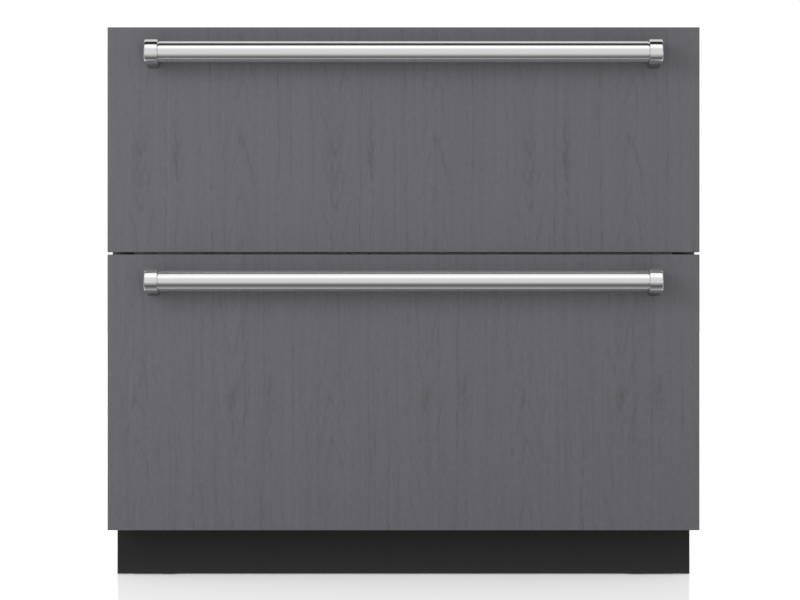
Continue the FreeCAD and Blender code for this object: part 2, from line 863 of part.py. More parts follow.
def channel(name, deep, shallow, half_height, web_deep):
    """C-section of a slide, by its depths in from the cavity wall. web_deep puts the web there."""
    wall = D.slide_wall
    near, far = CAVITY_HALF - shallow, CAVITY_HALF - deep
    tips, web = (near, far) if web_deep else (far, near)
    inner = web + wall if web_deep else web - wall
    return [
        (tips, -half_height),
        (web, -half_height),
        (web, half_height),
        (tips, half_height),
        (tips, half_height - wall),
        (inner, half_height - wall),
        (inner, wall - half_height),
        (tips, wall - half_height),
    ]


def slide_member(name, height, deep, shallow, half_height, web_deep=False):
    section = channel(name, deep, shallow, half_height, web_deep)
    body = prism(name, "XZ_Plane", [(x, z + height) for x, z in section], SLIDE_START, SLIDE_END)
    return both_sides(f"{name}_pair", body)


def make_slides(prefix, height):
    """Three-part telescopic slides on both sides: fixed, middle and drawer members."""
    nest = D.slide_wall + D.ball_gap
    outer_half = D.slide_half_height
    middle_half = outer_half - nest
    inner_half = middle_half - nest
    fixed = slide_member(f"{prefix}_fixed_slide", height, D.slide_depth, 0, outer_half)
    middle = slide_member(f"{prefix}_middle_slide", height, D.slide_depth - 0.5, 3.5, middle_half)
    inner = slide_member(f"{prefix}_inner_slide", height, D.slide_depth + 0.7, 7, inner_half, True)
    sub_part(f"{prefix}_middle_slides", middle)
    sub_part(f"{prefix}_inner_slides", inner)
    return fixed


def make_drawer_frame(prefix, height):
    """Side arms that carry the tub's rim, joined by a bar across the back."""
    low, high = height - ARM_HALF_HEIGHT, height + ARM_HALF_HEIGHT
    shaft_z = height - SHAFT_DROP
    ear_front, ear_back = D.tub_back + 4, D.shaft_y + 12
    side = [
        (FRONT_BACK, low),
        (ear_front, low),
        (ear_front, shaft_z - 12),
        (ear_back, shaft_z - 12),
        (ear_back, high),
        (FRONT_BACK, high),
    ]
    bore = [((D.shaft_y, shaft_z), D.shaft_radius + BORE_CLEARANCE)]
    web = prism(f"{prefix}_arm_web", "YZ_Plane", side, ARM_INSIDE, ARM_OUTSIDE, rings=bore)
    shelf_edge = D.tub_half_width + 2
    thick = D.arm_thick
    shelf_low = (shelf_edge, FRONT_BACK, high - thick)
    shelf = block(f"{prefix}_arm_shelf", shelf_low, (ARM_INSIDE, ear_front, high))
    tab = block(f"{prefix}_arm_tab", (350, FRONT_BACK, low), (ARM_INSIDE, FRONT_BACK + thick, high))
    arm = fuse(f"{prefix}_arm", [web, shelf, tab])
    bar = block(
        f"{prefix}_back_bar", (-ARM_INSIDE, ear_front, low), (ARM_INSIDE, ear_front + thick, high)
    )
    frame = fuse(f"{prefix}_drawer_frame", [arm, mirrored(f"{prefix}_arm_other", arm), bar])
    sub_part(f"{prefix}_drawer_frame", frame)


def tank(prefix, name, floor, top, front, back, inset, corners):
    half = D.tub_half_width - inset
    low, high = (-half, front + inset, floor + inset), (half, back - inset, top)
    corner, bottom = D.tub_corner - inset, D.tub_bottom_round - inset
    return rounded_tank(f"{prefix}_{name}", low, high, corner, bottom, corners)


def make_tub(prefix, floor, height, step=None):
    """Plastic storage tub with a rim that hangs on the frame; step gives a deeper front part."""
    top = height + ARM_HALF_HEIGHT
    front, back = FRONT_BACK + D.tub_front, D.tub_back

    def solid(name, inset, above):
        if step is None:
            return tank(prefix, name, floor, top + above, front, back, inset, lambda edge: True)
        step_back, step_floor = step
        deep = tank(prefix, f"{name}_deep", floor, top + above, front, step_back, inset, lambda edge: True)
        start = step_back - D.tub_corner * 2
        shallow = tank(
            prefix,
            f"{name}_shallow",
            step_floor,
            top + above,
            start,
            back,
            inset,
            lambda edge: edge.BoundBox.YMin > step_back.value,
        )
        return fuse(f"{prefix}_{name}_both", [deep, shallow])

    rim_half = ARM_INSIDE - 0.8
    rim = block(f"{prefix}_rim", (-rim_half, front - 4, top), (rim_half, back + 6, top + D.tub_wall))
    outside = fuse(f"{prefix}_tub_solid", [solid("tub_outside", size(0), 0), rim])
    inside = solid("tub_inside", D.tub_wall, 20)
    sub_part(f"{prefix}_tub", cut(f"{prefix}_tub", outside, [inside]))


def make_divider(prefix, floor, height, step=None):
    """Upright partition across the tub, with a stiffening flange along its top."""
    front = FRONT_BACK + D.tub_front + D.tub_wall + 2
    back = D.tub_back - D.tub_wall - 2
    bottom = floor + D.tub_wall + 0.5
    top = height + ARM_HALF_HEIGHT - 3
    clip = D.tub_bottom_round
    thick, flange = 1.5, 6
    if step is None:
        foot = [(back - clip, bottom), (back, bottom + clip)]
    else:
        step_back, step_floor = step
        heel, ledge = step_back - D.tub_wall - 2, step_floor + D.tub_wall + 0.5
        foot = [
            (heel - clip, bottom),
            (heel, bottom + clip),
            (heel, ledge),
            (back - clip, ledge),
            (back, ledge + clip),
        ]
    outline = [(front + clip, bottom), *foot, (back, top), (front, top), (front, bottom + clip)]
    plate = prism(f"{prefix}_divider_plate", "YZ_Plane", outline, -thick, thick)
    edge = block(f"{prefix}_divider_edge", (-flange, front, top - thick), (flange, back, top))
    sub_part(f"{prefix}_divider", fuse(f"{prefix}_divider", [plate, edge]))


def tooth(root, tip, flare):
    """Outline of one straight-sided tooth, from below its root to its tip."""
    wide, narrow = D.tooth_half + flare, D.tooth_half - flare
    return [(-wide, root), (wide, root), (narrow, tip), (-narrow, tip)]


TOOTH_FLARE = 0.65


def make_pinion(name):
    """Small spur gear about Z, with one tooth pointing along its sketch's vertical axis."""
    pitch = D.pinion_pitch_radius
    body = document.addObject("PartDesign::Body", name)
    blank = new_sketch(body, f"{name}_blank", "XY_Plane")
    add_circle(blank, (0, 0), pitch - D.tooth_root)
    pad(body, blank, D.gear_width, "Blank")
    sketch = new_sketch(body, f"{name}_tooth", "XY_Plane")
    add_polygon(sketch, tooth(pitch - D.tooth_root - 1.5, pitch + D.tooth_top, TOOTH_FLARE))
    one = pad(body, sketch, D.gear_width, "Tooth")
    ring = body.newObject("PartDesign::PolarPattern", "Teeth")
    ring.Originals = [one]
    ring.Axis = (sketch, ["N_Axis"])
    ring.Angle = 360
    ring.Occurrences = int(D.pinion_teeth.value)
    body.Tip = ring
    return body


def make_sync_shaft(prefix, height):
    """Shaft across the back of a drawer, with a pinion at each end that keeps the drawer square."""
    z = height - SHAFT_DROP
    end = GEAR_OUTSIDE
    pinion = make_pinion(f"{prefix}_pinion")
    pinion.Placement.Rotation = Rotation(Vector(0, 1, 0), 90)
    place(pinion, (end - D.gear_width, D.shaft_y, z))
    shaft = rod(f"{prefix}_shaft", (-end, D.shaft_y, z), end * 2, D.shaft_radius, "X")
    other = mirrored(f"{prefix}_pinion_other", pinion)
    sub_part(f"{prefix}_sync_shaft", fuse(f"{prefix}_sync_shaft", [shaft, pinion, other]))


def make_rack(prefix, height):
    """Toothed strip on the cavity wall, one tooth space straight below the closed shaft."""
    pitch = 2 * math.pi * D.pinion_pitch_radius.value / D.pinion_teeth.value
    teeth_front, teeth_back = 61, 1
    pitch_line = height - RACK_DROP
    root = pitch_line - D.tooth_root
    back = D.shaft_y + pitch * (teeth_back + 0.5)
    front = D.shaft_y - pitch * (teeth_front + 0.5)
    inside = CAVITY_HALF - D.gear_width - 1.5
    strip = rectangle((front, root - 8), (back, root))
    body = prism(f"{prefix}_rack", "YZ_Plane", strip, inside, CAVITY_HALF)
    sketch = new_sketch(body, f"{prefix}_rack_tooth", "YZ_Plane")
    outline = tooth(root - 1, pitch_line + D.tooth_top, TOOTH_FLARE)
    first = front + pitch
    add_polygon(sketch, [(y + first, z) for y, z in outline])
    one = pad(body, sketch, CAVITY_HALF - inside, "Tooth")
    repeat(body, one, (sketch, ["H_Axis"]), pitch, teeth_front + teeth_back)
    return both_sides(f"{prefix}_racks", body)


def make_drawer(prefix, bottom, top, height, floor, step=None):
    """Everything that belongs to one drawer. Returns its fixed slides and racks."""
    make_panel(prefix, bottom, top)
    make_front_box(prefix, bottom, top)
    make_handle(prefix, top)
    make_drawer_frame(prefix, height)
    make_tub(prefix, floor, height, step)
    make_divider(prefix, floor, height, step)
    make_sync_shaft(prefix, height)
    return make_slides(prefix, height), make_rack(prefix, height)


# ---------------------------------------------------------------- refrigeration unit


def coil_and_fins(runs, pitch, run_length, tube, fin_depth, fin_count, edge):
    """A flat serpentine whose runs go along Z and stack along X, and the fins that cross it."""
    bend = pitch / 2
    edges = []
    for index in range(runs):
        x = index * pitch
        low, high = (x, 0, 0), (x, 0, run_length)
        start, end = (low, high) if index % 2 == 0 else (high, low)
        edges.append(Part.makeLine(Vector(*start), Vector(*end)))
        if index < runs - 1:
            out = bend if end is high else -bend
            middle = Vector(x + bend, 0, end[2] + out)
            edges.append(Part.Arc(Vector(*end), middle, Vector(x + pitch, 0, end[2])).toShape())
    stub = 8
    first = Part.makeLine(Vector(0, 0, -stub), Vector(0, 0, 0))
    last_x = (runs - 1) * pitch
    last = Part.makeLine(Vector(last_x, 0, run_length), Vector(last_x, 0, run_length + stub))
    coil = pipe(Part.Wire([first, *edges, last]), tube)

    thick = 0.8
    width = last_x + 2 * edge
    plate = Part.Wire(Part.makePolygon([
        Vector(-edge, -fin_depth / 2, 0),
        Vector(width - edge, -fin_depth / 2, 0),
        Vector(width - edge, fin_depth / 2, 0),
        Vector(-edge, fin_depth / 2, 0),
        Vector(-edge, -fin_depth / 2, 0),
    ]))
    openings = [Part.Wire(Part.makeCircle(tube, Vector(i * pitch, 0, 0))) for i in range(runs)]
    one = Part.makeFace([plate, *openings], "Part::FaceMakerBullseye").extrude(Vector(0, 0, thick))
    gap = run_length / (fin_count + 1)
    fins = [one.translated(Vector(0, 0, gap * (i + 1) - thick / 2)) for i in range(fin_count)]
    return Part.Compound([coil, *fins])


def make_compressor():
    """Welded can on a foot plate, with its pipe stubs, rubber feet and electrical cover."""
    x, y, radius = D.compressor_x, D.compressor_y, D.compressor_radius
    bottom, top = D.compressor_bottom, D.compressor_bottom + D.compressor_height
    dome = 26
    body = document.addObject("PartDesign::Body", "compressor_can")
    sketch = new_sketch(body, "can_circle", "XY_Plane")
    add_circle(sketch, (0, 0), radius)
    pad(body, sketch, top - bottom)
    place(body, (x, y, bottom))
    round_edges(body, dome, at_height(D.compressor_height.value), "Dome")
    round_edges(body, 10, at_height(0), "Base")
    seam = rod("can_seam", (x, y, bottom + D.compressor_height * 0.52), 4, radius + 3)
    plate_low, plate_high = (x - 92, y - 72, bottom - 3), (x + 92, y + 72, bottom + 0.5)
    plate = block("foot_plate", plate_low, plate_high)
    suction = rod("suction_stub", (x + 40, D.evaporator_y, SUCTION_Z), 42, D.tube_radius, "X")
    discharge = rod("discharge_stub", (x - 40, DISCHARGE_Y, DISCHARGE_Z), 38, 3, "-X")
    process = rod("process_stub", (x - 40, y + 25, 185), 36, 3, "-X")
    can = fuse("compressor_fused", [body, seam, plate, suction, discharge, process])
    sub_part("compressor", can)

    grommet = [(0, 0), (11, 0), (11, 4), (7, 5), (7, 10), (11, 11), (11, 15), (0, 15)]
    feet = [
        revolved("grommet", grommet, (x + dx, y + dy, FLOOR)) for dx in (-80, 80) for dy in (-60, 60)
    ]
    sub_part("compressor_grommets", group("compressor_grommets", feet))

    cover_low, cover_high = (x + radius - 14, y - 24, bottom + 17), (x + radius + 26, y + 8, bottom + 67)
    cover = block("terminal_block", cover_low, cover_high)
    can_space = rod("terminal_clearance", (x, y, bottom), 80, radius)
    sub_part("compressor_terminal_cover", cut("terminal_cover", cover, [can_space]))


DISCHARGE_Y, DISCHARGE_Z = 200, 110
SUCTION_Z = 180
CONDENSER_FIRST_Y, CONDENSER_LOW, CONDENSER_RUN = 160, 92, 143
CONDENSER_RUNS, CONDENSER_PITCH = 7, 24
CONDENSER_LAST_Y = CONDENSER_FIRST_Y + (CONDENSER_RUNS - 1) * CONDENSER_PITCH
EVAPORATOR_HALF, EVAPORATOR_RUNS, EVAPORATOR_PITCH = 200, 5, 26


def make_condenser():
    """Finned coil in the intake side of the bay, held by two side plates."""
    x = D.condenser_x
    coil = coil_and_fins(
        CONDENSER_RUNS, CONDENSER_PITCH, CONDENSER_RUN, D.tube_radius.value, 60, 16, 12
    )
    where = FreeCAD.Placement(
        Vector(x.value, CONDENSER_FIRST_Y, CONDENSER_LOW), Rotation(Vector(0, 0, 1), 90)
    )
    plates = [
        block("condenser_side", (x - 30, y, FLOOR), (x + 30, y + 1.5, 240))
        for y in (CONDENSER_FIRST_Y - 13.5, CONDENSER_LAST_Y + 12)
    ]
    sub_part("condenser", group("condenser", [shaped("condenser_coil", coil, where), *plates]))


def make_evaporator():
    """Finned coil behind the duct cover, held off the liner by two end brackets."""
    coil = coil_and_fins(
        EVAPORATOR_RUNS, EVAPORATOR_PITCH, 2 * EVAPORATOR_HALF, D.tube_radius.value, 36, 24, 13
    )
    turn = Rotation(Vector(0, 0, 1), Vector(0, -1, 0), Vector(1, 0, 0), "XYZ")
    where = FreeCAD.Placement(
        Vector(-EVAPORATOR_HALF, D.evaporator_y.value, D.evaporator_bottom.value), turn
    )
    heights = [D.evaporator_bottom + i * EVAPORATOR_PITCH for i in range(EVAPORATOR_RUNS)]
    brackets = [
        prism(
            "evaporator_bracket",
            "YZ_Plane",
            rectangle(
                (D.evaporator_y - 20, D.evaporator_bottom - 16), (CAVITY_BACK, heights[-1] + 16)
            ),
            start,
            start + 1.5,
            rings=[((D.evaporator_y, z), D.tube_radius) for z in heights],
        )
        for start in (-EVAPORATOR_HALF + 3, EVAPORATOR_HALF - 4.5)
    ]
    sub_part("evaporator", group("evaporator", [shaped("evaporator_coil", coil, where), *brackets]))


def make_lines():
    """Suction, discharge, outlet and capillary tubes, and the filter drier in the last."""
    y, bend = D.evaporator_y.value, 14
    evaporator_top = D.evaporator_bottom.value + (EVAPORATOR_RUNS - 1) * EVAPORATOR_PITCH
    stub = EVAPORATOR_HALF + 8
    riser, drop = LINE_HOLES[0][0], LINE_HOLES[1][0]
    compressor_x = D.compressor_x.value
    suction = route(
        [
            (stub, y, evaporator_top),
            (riser, y, evaporator_top),
            (riser, y, SUCTION_Z),
            (compressor_x + 82, y, SUCTION_Z),
        ],
        bend,
    )
    condenser_x = D.condenser_x.value
    floor = 72
    discharge = route(
        [
            (compressor_x - 78, DISCHARGE_Y, DISCHARGE_Z),
            (110, DISCHARGE_Y, DISCHARGE_Z),
            (80, CONDENSER_FIRST_Y, floor),
            (condenser_x, CONDENSER_FIRST_Y, floor),
            (condenser_x, CONDENSER_FIRST_Y, CONDENSER_LOW - 8),
        ],
        8,
    )
    outlet = route(
        [
            (condenser_x, CONDENSER_LAST_Y, CONDENSER_LOW + CONDENSER_RUN + 8),
            (condenser_x, CONDENSER_LAST_Y, 254),
            (drop, CONDENSER_LAST_Y, 254),
            (drop, CONDENSER_LAST_Y, DRIER_TOP),
        ],
        8,
    )
    capillary = route(
        [
            (drop, CONDENSER_LAST_Y, DRIER_BOTTOM),
            (drop, CONDENSER_LAST_Y, 85),
            (drop, y, 85),
            (drop, y, D.evaporator_bottom.value),
            (-stub, y, D.evaporator_bottom.value),
        ],
        bend,
    )
    tubes = [
        shaped("suction_line", pipe(suction, D.tube_radius.value)),
        shaped("discharge_line", pipe(discharge, 3)),
        shaped("outlet_tube", pipe(outlet, 3)),
        shaped("capillary", pipe(capillary, 1.5)),
        make_filter_drier(),
    ]
    sub_part("refrigerant_lines", group("refrigerant_lines", tubes))


DRIER_BOTTOM, DRIER_TOP = 118, 222


def make_filter_drier():
    """Upright copper cartridge between the condenser and the capillary."""
    low, high = DRIER_BOTTOM, DRIER_TOP
    outline = [(0, 0), (3, 0), (10, 12), (10, high - low - 12), (4, high - low), (0, high - low)]
    return revolved("filter_drier", outline, (LINE_HOLES[1][0], CONDENSER_LAST_Y, low))


CONDENSER_FAN_X = -118
SHROUD_BORE = 72
FAN_DEPTH, FAN_SHAFT, FAN_SHAFT_RADIUS = 18, 16, 3


def make_condenser_fan_mount():
    """Shroud plate with a collar, and a bracket on four posts that carries the motor."""
    x, y, z = CONDENSER_FAN_X, D.compressor_y, D.fan_height
    margin = 4
    plate_outline = rectangle((BAY_FRONT + margin, FLOOR), (BACK_SHEET - margin, z + 92))
    rings = [((y, z), SHROUD_BORE), ((CONDENSER_FIRST_Y, 72), 5)]
    plate = prism("shroud_plate", "YZ_Plane", plate_outline, x, x + 3, rings=rings)
    collar = cut(
        "shroud_collar",
        rod("collar_outside", (x, y, z), 20, SHROUD_BORE + 2, "X"),
        [rod("collar_inside", (x - 1, y, z), 22, SHROUD_BORE, "X")],
    )
    offset, bracket_x = 62, x + 56
    corners = [(dy, dz) for dy in (-offset, offset) for dz in (-offset, offset)]
    posts = [rod("fan_post", (x, y + dy, z + dz), 59, 4, "X") for dy, dz in corners]
    spokes = [
        block("fan_spoke", (bracket_x, y - 66, z + low), (bracket_x + 3, y + 66, z + low + 14))
        for low in (-offset - 7, -7, offset - 7)
    ]
    spine = block("fan_spine", (bracket_x, y - 9, z - 66), (bracket_x + 3, y + 9, z + 66))
    sub_part("condenser_fan_shroud", fuse("shroud", [plate, collar, *posts, *spokes, spine]))
    nose = FAN_SHAFT_RADIUS
    motor = [(0, -FAN_SHAFT), (nose, -FAN_SHAFT), (nose, 0), (23, 0), (24, 1), (24, 29), (23, 30), (0, 30)]
    sub_part("condenser_fan_motor", revolved("condenser_motor", motor, (bracket_x - 30, y, z), "X"))


def blade(hub, tip, width, thick, root_angle, tip_angle):
    """One twisted fan blade along +X, turning about Z."""

    def section(radius, angle, chord):
        turn = Rotation(Vector(1, 0, 0), angle)
        corners = rectangle((-chord / 2, -thick / 2), (chord / 2, thick / 2))
        points = [Vector(radius, 0, 0) + turn.multVec(Vector(0, a, b)) for a, b in corners]
        return Part.makePolygon([*points, points[0]])

    stations = [(hub - 4, root_angle, width * 0.7), (tip, tip_angle, width)]
    return Part.makeLoft([section(*station) for station in stations], True, True)


def rotor_shape(hub, tip, count, chord):
    """A fan wheel about Z that starts at 0, with a blind bore for its shaft in the far end."""
    depth = FAN_DEPTH
    wheel = Part.makeCylinder(hub, depth)
    for index in range(count):
        one = blade(hub, tip, chord, 1.6, 38, 22)
        one.rotate(Vector(0, 0, 0), Vector(0, 0, 1), 360 * index / count)
        one.translate(Vector(0, 0, depth / 2))
        wheel = wheel.fuse(one)
    bore = Part.makeCylinder(FAN_SHAFT_RADIUS + BORE_CLEARANCE, depth, Vector(0, 0, 3))
    return wheel.cut(bore).removeSplitter()


def make_fans():
    """The two fan wheels and the evaporator's motor."""
    condenser = FreeCAD.Placement(
        Vector(CONDENSER_FAN_X + 4, D.compressor_y.value, D.fan_height.value), TURN_TO["X"]
    )
    sub_part("condenser_fan", shaped("condenser_fan", rotor_shape(20, 66, 7, 38), condenser))
    z, front = D.evaporator_fan_height, D.duct_front + 10
    evaporator = FreeCAD.Placement(Vector(0, front.value, z.value), TURN_TO["Y"])
    sub_part("evaporator_fan", shaped("evaporator_fan", rotor_shape(18, 52, 7, 30), evaporator))
    start = front + FAN_DEPTH + 2
    can = rod("evaporator_motor_can", (0, start, z), CAVITY_BACK - start, 21, "Y")
    nose = rod("evaporator_motor_shaft", (0, start, z), FAN_SHAFT, FAN_SHAFT_RADIUS, "-Y")
    plate = block("evaporator_motor_plate", (-40, CAVITY_BACK - 2, z - 34), (40, CAVITY_BACK, z + 34))
    sub_part("evaporator_fan_motor", fuse("evaporator_fan_motor", [can, nose, plate]))


def make_duct_cover():
    """White cover over the evaporator and the back wall, slotted for the air."""
    half, front, top = D.duct_half_width, D.duct_front, CAVITY_TOP - 6
    bottom, sheet = HUMP_TOP + 4, 2
    body = prism("duct_sheet", "XZ_Plane", rectangle((-half, bottom), (half, top)), front, front + sheet)
    banks = (
        ("outlet", -70, D.evaporator_fan_height - 50, 140, 11),
        ("return", -180, bottom + 20, 360, 6),
    )
    for name, left, low, width, count in banks:
        sketch = new_sketch(body, f"duct_{name}")
        add_polygon(sketch, rectangle((left, low), (left + width, low + 5)))
        vent = pocket(body, sketch, 6, name=f"duct_{name}_vent")
        vent.SideType = "Symmetric"
        repeat(body, vent, (sketch, ["V_Axis"]), 10, count)
    sides = [
        block("duct_side", (low, front + sheet, bottom), (high, CAVITY_BACK, top))
        for low, high in ((half - sheet, half), (-half, sheet - half))
    ]
    sub_part("duct_cover", fuse("duct_cover", [body, *sides]))


def make_drain():
    """Tray on top of the compressor that the defrost water runs into, with its funnel tube."""
    x, y = D.compressor_x, D.compressor_y
    low = D.compressor_bottom + D.compressor_height
    outside = rounded_tank("tray_outside", (x - 85, y - 62, low), (x + 85, y + 62, low + 24), 12, 4)
    inside = rounded_tank("tray_inside", (x - 83, y - 60, low + 2), (x + 83, y + 60, low + 30), 10, 2)
    tray = cut("drain_tray", outside, [inside])
    end, top = low + 8, HUMP_TOP
    wall = DRAIN_RADIUS - 1.5
    outline = [
        (wall, end),
        (DRAIN_RADIUS, end),
        (DRAIN_RADIUS, top),
        (16, top),
        (16, top + 2),
        (wall, top + 2),
    ]
    tube = revolved("drain_tube", outline, (D.drain_x, y, 0))
    sub_part("drain", group("drain", [tray, tube]))


# ---------------------------------------------------------------- controls, lights and power

BUTTONS = {"colder_button": -40, "warmer_button": 40}
BUTTON_HALF_WIDTH, BUTTON_HALF_HEIGHT = 10, 5
CONTROL_HALF, CONTROL_HEIGHT = 130, 26


def make_controls():
    """Control box under the cavity roof, with two push buttons in its face."""
    front, back = CABINET_FRONT + 11, CABINET_FRONT + 55
    low = CAVITY_TOP - CONTROL_HEIGHT
    middle = CAVITY_TOP - CONTROL_HEIGHT / 2
    outline = [
        (front, low + 3),
        (front + 3, low),
        (back, low),
        (back, CAVITY_TOP),
        (front, CAVITY_TOP),
    ]
    box = prism("control_box", "YZ_Plane", outline, -CONTROL_HALF, CONTROL_HALF)
    clear = 0.3
    wells = []
    for name, x in BUTTONS.items():
        wide, tall = BUTTON_HALF_WIDTH + clear, BUTTON_HALF_HEIGHT + clear
        well_low, well_high = (x - wide, front - 1, middle - tall), (x + wide, front + 7, middle + tall)
        wells.append(block("button_well", well_low, well_high))
        low_corner = (x - BUTTON_HALF_WIDTH, middle - BUTTON_HALF_HEIGHT)
        high_corner = (x + BUTTON_HALF_WIDTH, middle + BUTTON_HALF_HEIGHT)
        button = prism(name, "XZ_Plane", rectangle(low_corner, high_corner), front - 1.5, front + 4)
        round_edges(button, 2, runs_along(Vector(0, 1, 0)))
        sub_part(name, button)
    window = block("display_well", (-20, front - 1, middle - 7), (20, front + 1.5, middle + 7))
    sub_part("control_housing", cut("control_housing", box, [*wells, window]))


def make_lights():
    """Two light bars: one under the roof, one under the mullion."""
    half = 200
    under_mullion = GAP_MIDDLE - D.mullion_height / 2
    bars = [
        block("light_bar", (-half, y, top - 6), (half, y + 14, top))
        for y, top in ((CABINET_FRONT + 62, CAVITY_TOP), (CABINET_FRONT + 24, under_mullion))
    ]
    sub_part("light_bars", group("light_bars", bars))


def make_power_inlet():
    """Socket for a mains lead in the rear cover: a flanged body with three contact blades."""
    x, z = INLET_X, INLET_Z
    wide, tall = INLET_HALF_WIDTH - 0.2, INLET_HALF_HEIGHT - 0.2
    face = BACK_SHEET + D.skin + 2
    barrel = block("inlet_barrel", (x - wide, BACK_SHEET - 22, z - tall), (x + wide, face, z + tall))
    flange = block("inlet_flange", (x - 24, BACK_SHEET + D.skin, z - 13), (x + 24, face, z + 13))
    socket = block("inlet_socket", (x - 12, face - 17, z - 8), (x + 12, face + 1, z + 8))
    moulding = cut("inlet_moulding", fuse("inlet_solid", [barrel, flange]), [socket])
    blades = [
        block("inlet_blade", (x + dx - 1, face - 18, z + dz - 3), (x + dx + 1, face - 3, z + dz + 3))
        for dx, dz in ((-7, -1), (0, 2), (7, -1))
    ]
    sub_part("power_inlet", fuse("power_inlet", [moulding, *blades]))


# ---------------------------------------------------------------- the whole unit


def make_cabinet():
    make_outer_shell()
    make_base_pan()
    make_inner_liner()
    make_foam()
    make_bay_panel()
    make_back_panel()
    make_rear_cover()
    make_rear_cover_screws()
    make_mullion()
    make_counter_brackets()


def make_base():
    make_base_frame()
    make_kick_plate()
    for side, x in (("right", D.foot_x), ("left", -D.foot_x)):
        make_foot(side, x)
        make_roller(side, x)


def make_drawers():
    step = (D.lower_tub_step_back, D.lower_tub_step_height)
    drawers = [
        make_drawer("upper", UPPER_BOTTOM, UPPER_TOP, D.upper_slide_height, D.upper_tub_floor),
        make_drawer("lower", LOWER_BOTTOM, LOWER_TOP, D.lower_slide_height, D.lower_tub_floor, step),
    ]
    sub_part("fixed_slides", group("fixed_slides", [slides for slides, racks in drawers]))
    sub_part("sync_racks", group("sync_racks", [racks for slides, racks in drawers]))


def make_machinery():
    make_compressor()
    make_condenser()
    make_evaporator()
    make_lines()
    make_condenser_fan_mount()
    make_fans()
    make_duct_cover()
    make_drain()


def make_fittings():
    make_controls()
    make_lights()
    make_power_inlet()


def check_and_write():
    """Stops on any failed object or unsound shape, then writes one STEP file for each piece."""
    document.recompute()
    failed = [o.Name for o in document.Objects if {"Invalid", "Error"} & set(o.State)]
    unsound = [p.Label for p in sub_parts if p.Shape.isNull() or not p.Shape.isValid()]
    if failed or unsound:
        raise RuntimeError(f"failed objects {failed}, unsound pieces {unsound}")
    os.makedirs("parts", exist_ok=True)
    for piece in sub_parts:
        piece.Shape.exportStep(f"parts/{piece.Label}.step")
    print(f"{len(sub_parts)} pieces written")


make_cabinet()
make_base()
make_drawers()
make_machinery()
make_fittings()
check_and_write()
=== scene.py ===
"""The looks of the two-drawer undercounter refrigerator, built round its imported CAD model."""

import math

import bmesh
import bpy
from mathutils import Matrix, Vector


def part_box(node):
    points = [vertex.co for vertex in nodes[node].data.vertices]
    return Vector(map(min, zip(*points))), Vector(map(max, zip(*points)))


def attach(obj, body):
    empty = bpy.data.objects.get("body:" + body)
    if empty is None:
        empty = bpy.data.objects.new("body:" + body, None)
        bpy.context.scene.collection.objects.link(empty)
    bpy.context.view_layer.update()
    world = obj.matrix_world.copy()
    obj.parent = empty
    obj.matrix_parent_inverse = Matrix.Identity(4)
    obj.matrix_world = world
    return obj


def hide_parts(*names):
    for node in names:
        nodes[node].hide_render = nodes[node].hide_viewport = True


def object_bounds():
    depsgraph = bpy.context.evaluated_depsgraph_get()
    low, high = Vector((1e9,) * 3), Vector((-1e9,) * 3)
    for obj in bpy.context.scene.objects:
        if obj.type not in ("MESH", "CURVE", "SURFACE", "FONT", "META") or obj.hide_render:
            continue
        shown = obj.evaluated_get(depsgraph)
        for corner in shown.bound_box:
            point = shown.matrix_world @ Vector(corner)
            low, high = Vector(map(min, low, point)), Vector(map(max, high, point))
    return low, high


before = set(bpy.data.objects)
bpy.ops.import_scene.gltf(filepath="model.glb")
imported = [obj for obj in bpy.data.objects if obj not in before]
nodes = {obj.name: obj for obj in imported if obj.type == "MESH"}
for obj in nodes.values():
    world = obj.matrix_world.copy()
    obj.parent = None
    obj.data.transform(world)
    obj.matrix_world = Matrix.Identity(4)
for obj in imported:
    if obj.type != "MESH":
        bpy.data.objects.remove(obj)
cad_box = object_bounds()
MM = 0.001

# ---------------------------------------------------------------- places taken from the frame

upper_panel_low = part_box("upper_panel")[0]
lower_panel_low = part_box("lower_panel")[0]
PANEL_FRONT = upper_panel_low.y
FLOOR_Z = cad_box[0].z

# ---------------------------------------------------------------- materials


class Field:
    """A number or colour that a material's nodes work out at each point of a surface."""

    def __init__(self, paint, socket):
        self.paint, self.socket = paint, socket

    def math(self, operation, *others, clamp=False):
        return self.paint.math(operation, self, *others, clamp=clamp)

    def __add__(self, other):
        return self.math("ADD", other)

    def __sub__(self, other):
        return self.math("SUBTRACT", other)

    def __mul__(self, other):
        return self.math("MULTIPLY", other)

    def __truediv__(self, other):
        return self.math("DIVIDE", other)

    def __radd__(self, other):
        return self + other

    def __rmul__(self, other):
        return self * other

    def __rsub__(self, other):
        return self.paint.math("SUBTRACT", other, self)

    def between(self, low, high, to_low=0.0, to_high=1.0):
        """Rises smoothly from to_low to to_high as this field goes from low to high."""
        node = self.paint.add("ShaderNodeMapRange", interpolation_type="SMOOTHSTEP")
        limits = {"From Min": low, "From Max": high, "To Min": to_low, "To Max": to_high}
        for name, value in limits.items():
            node.inputs[name].default_value = value
        self.paint.feed(node.inputs["Value"], self)
        return Field(self.paint, node.outputs["Result"])


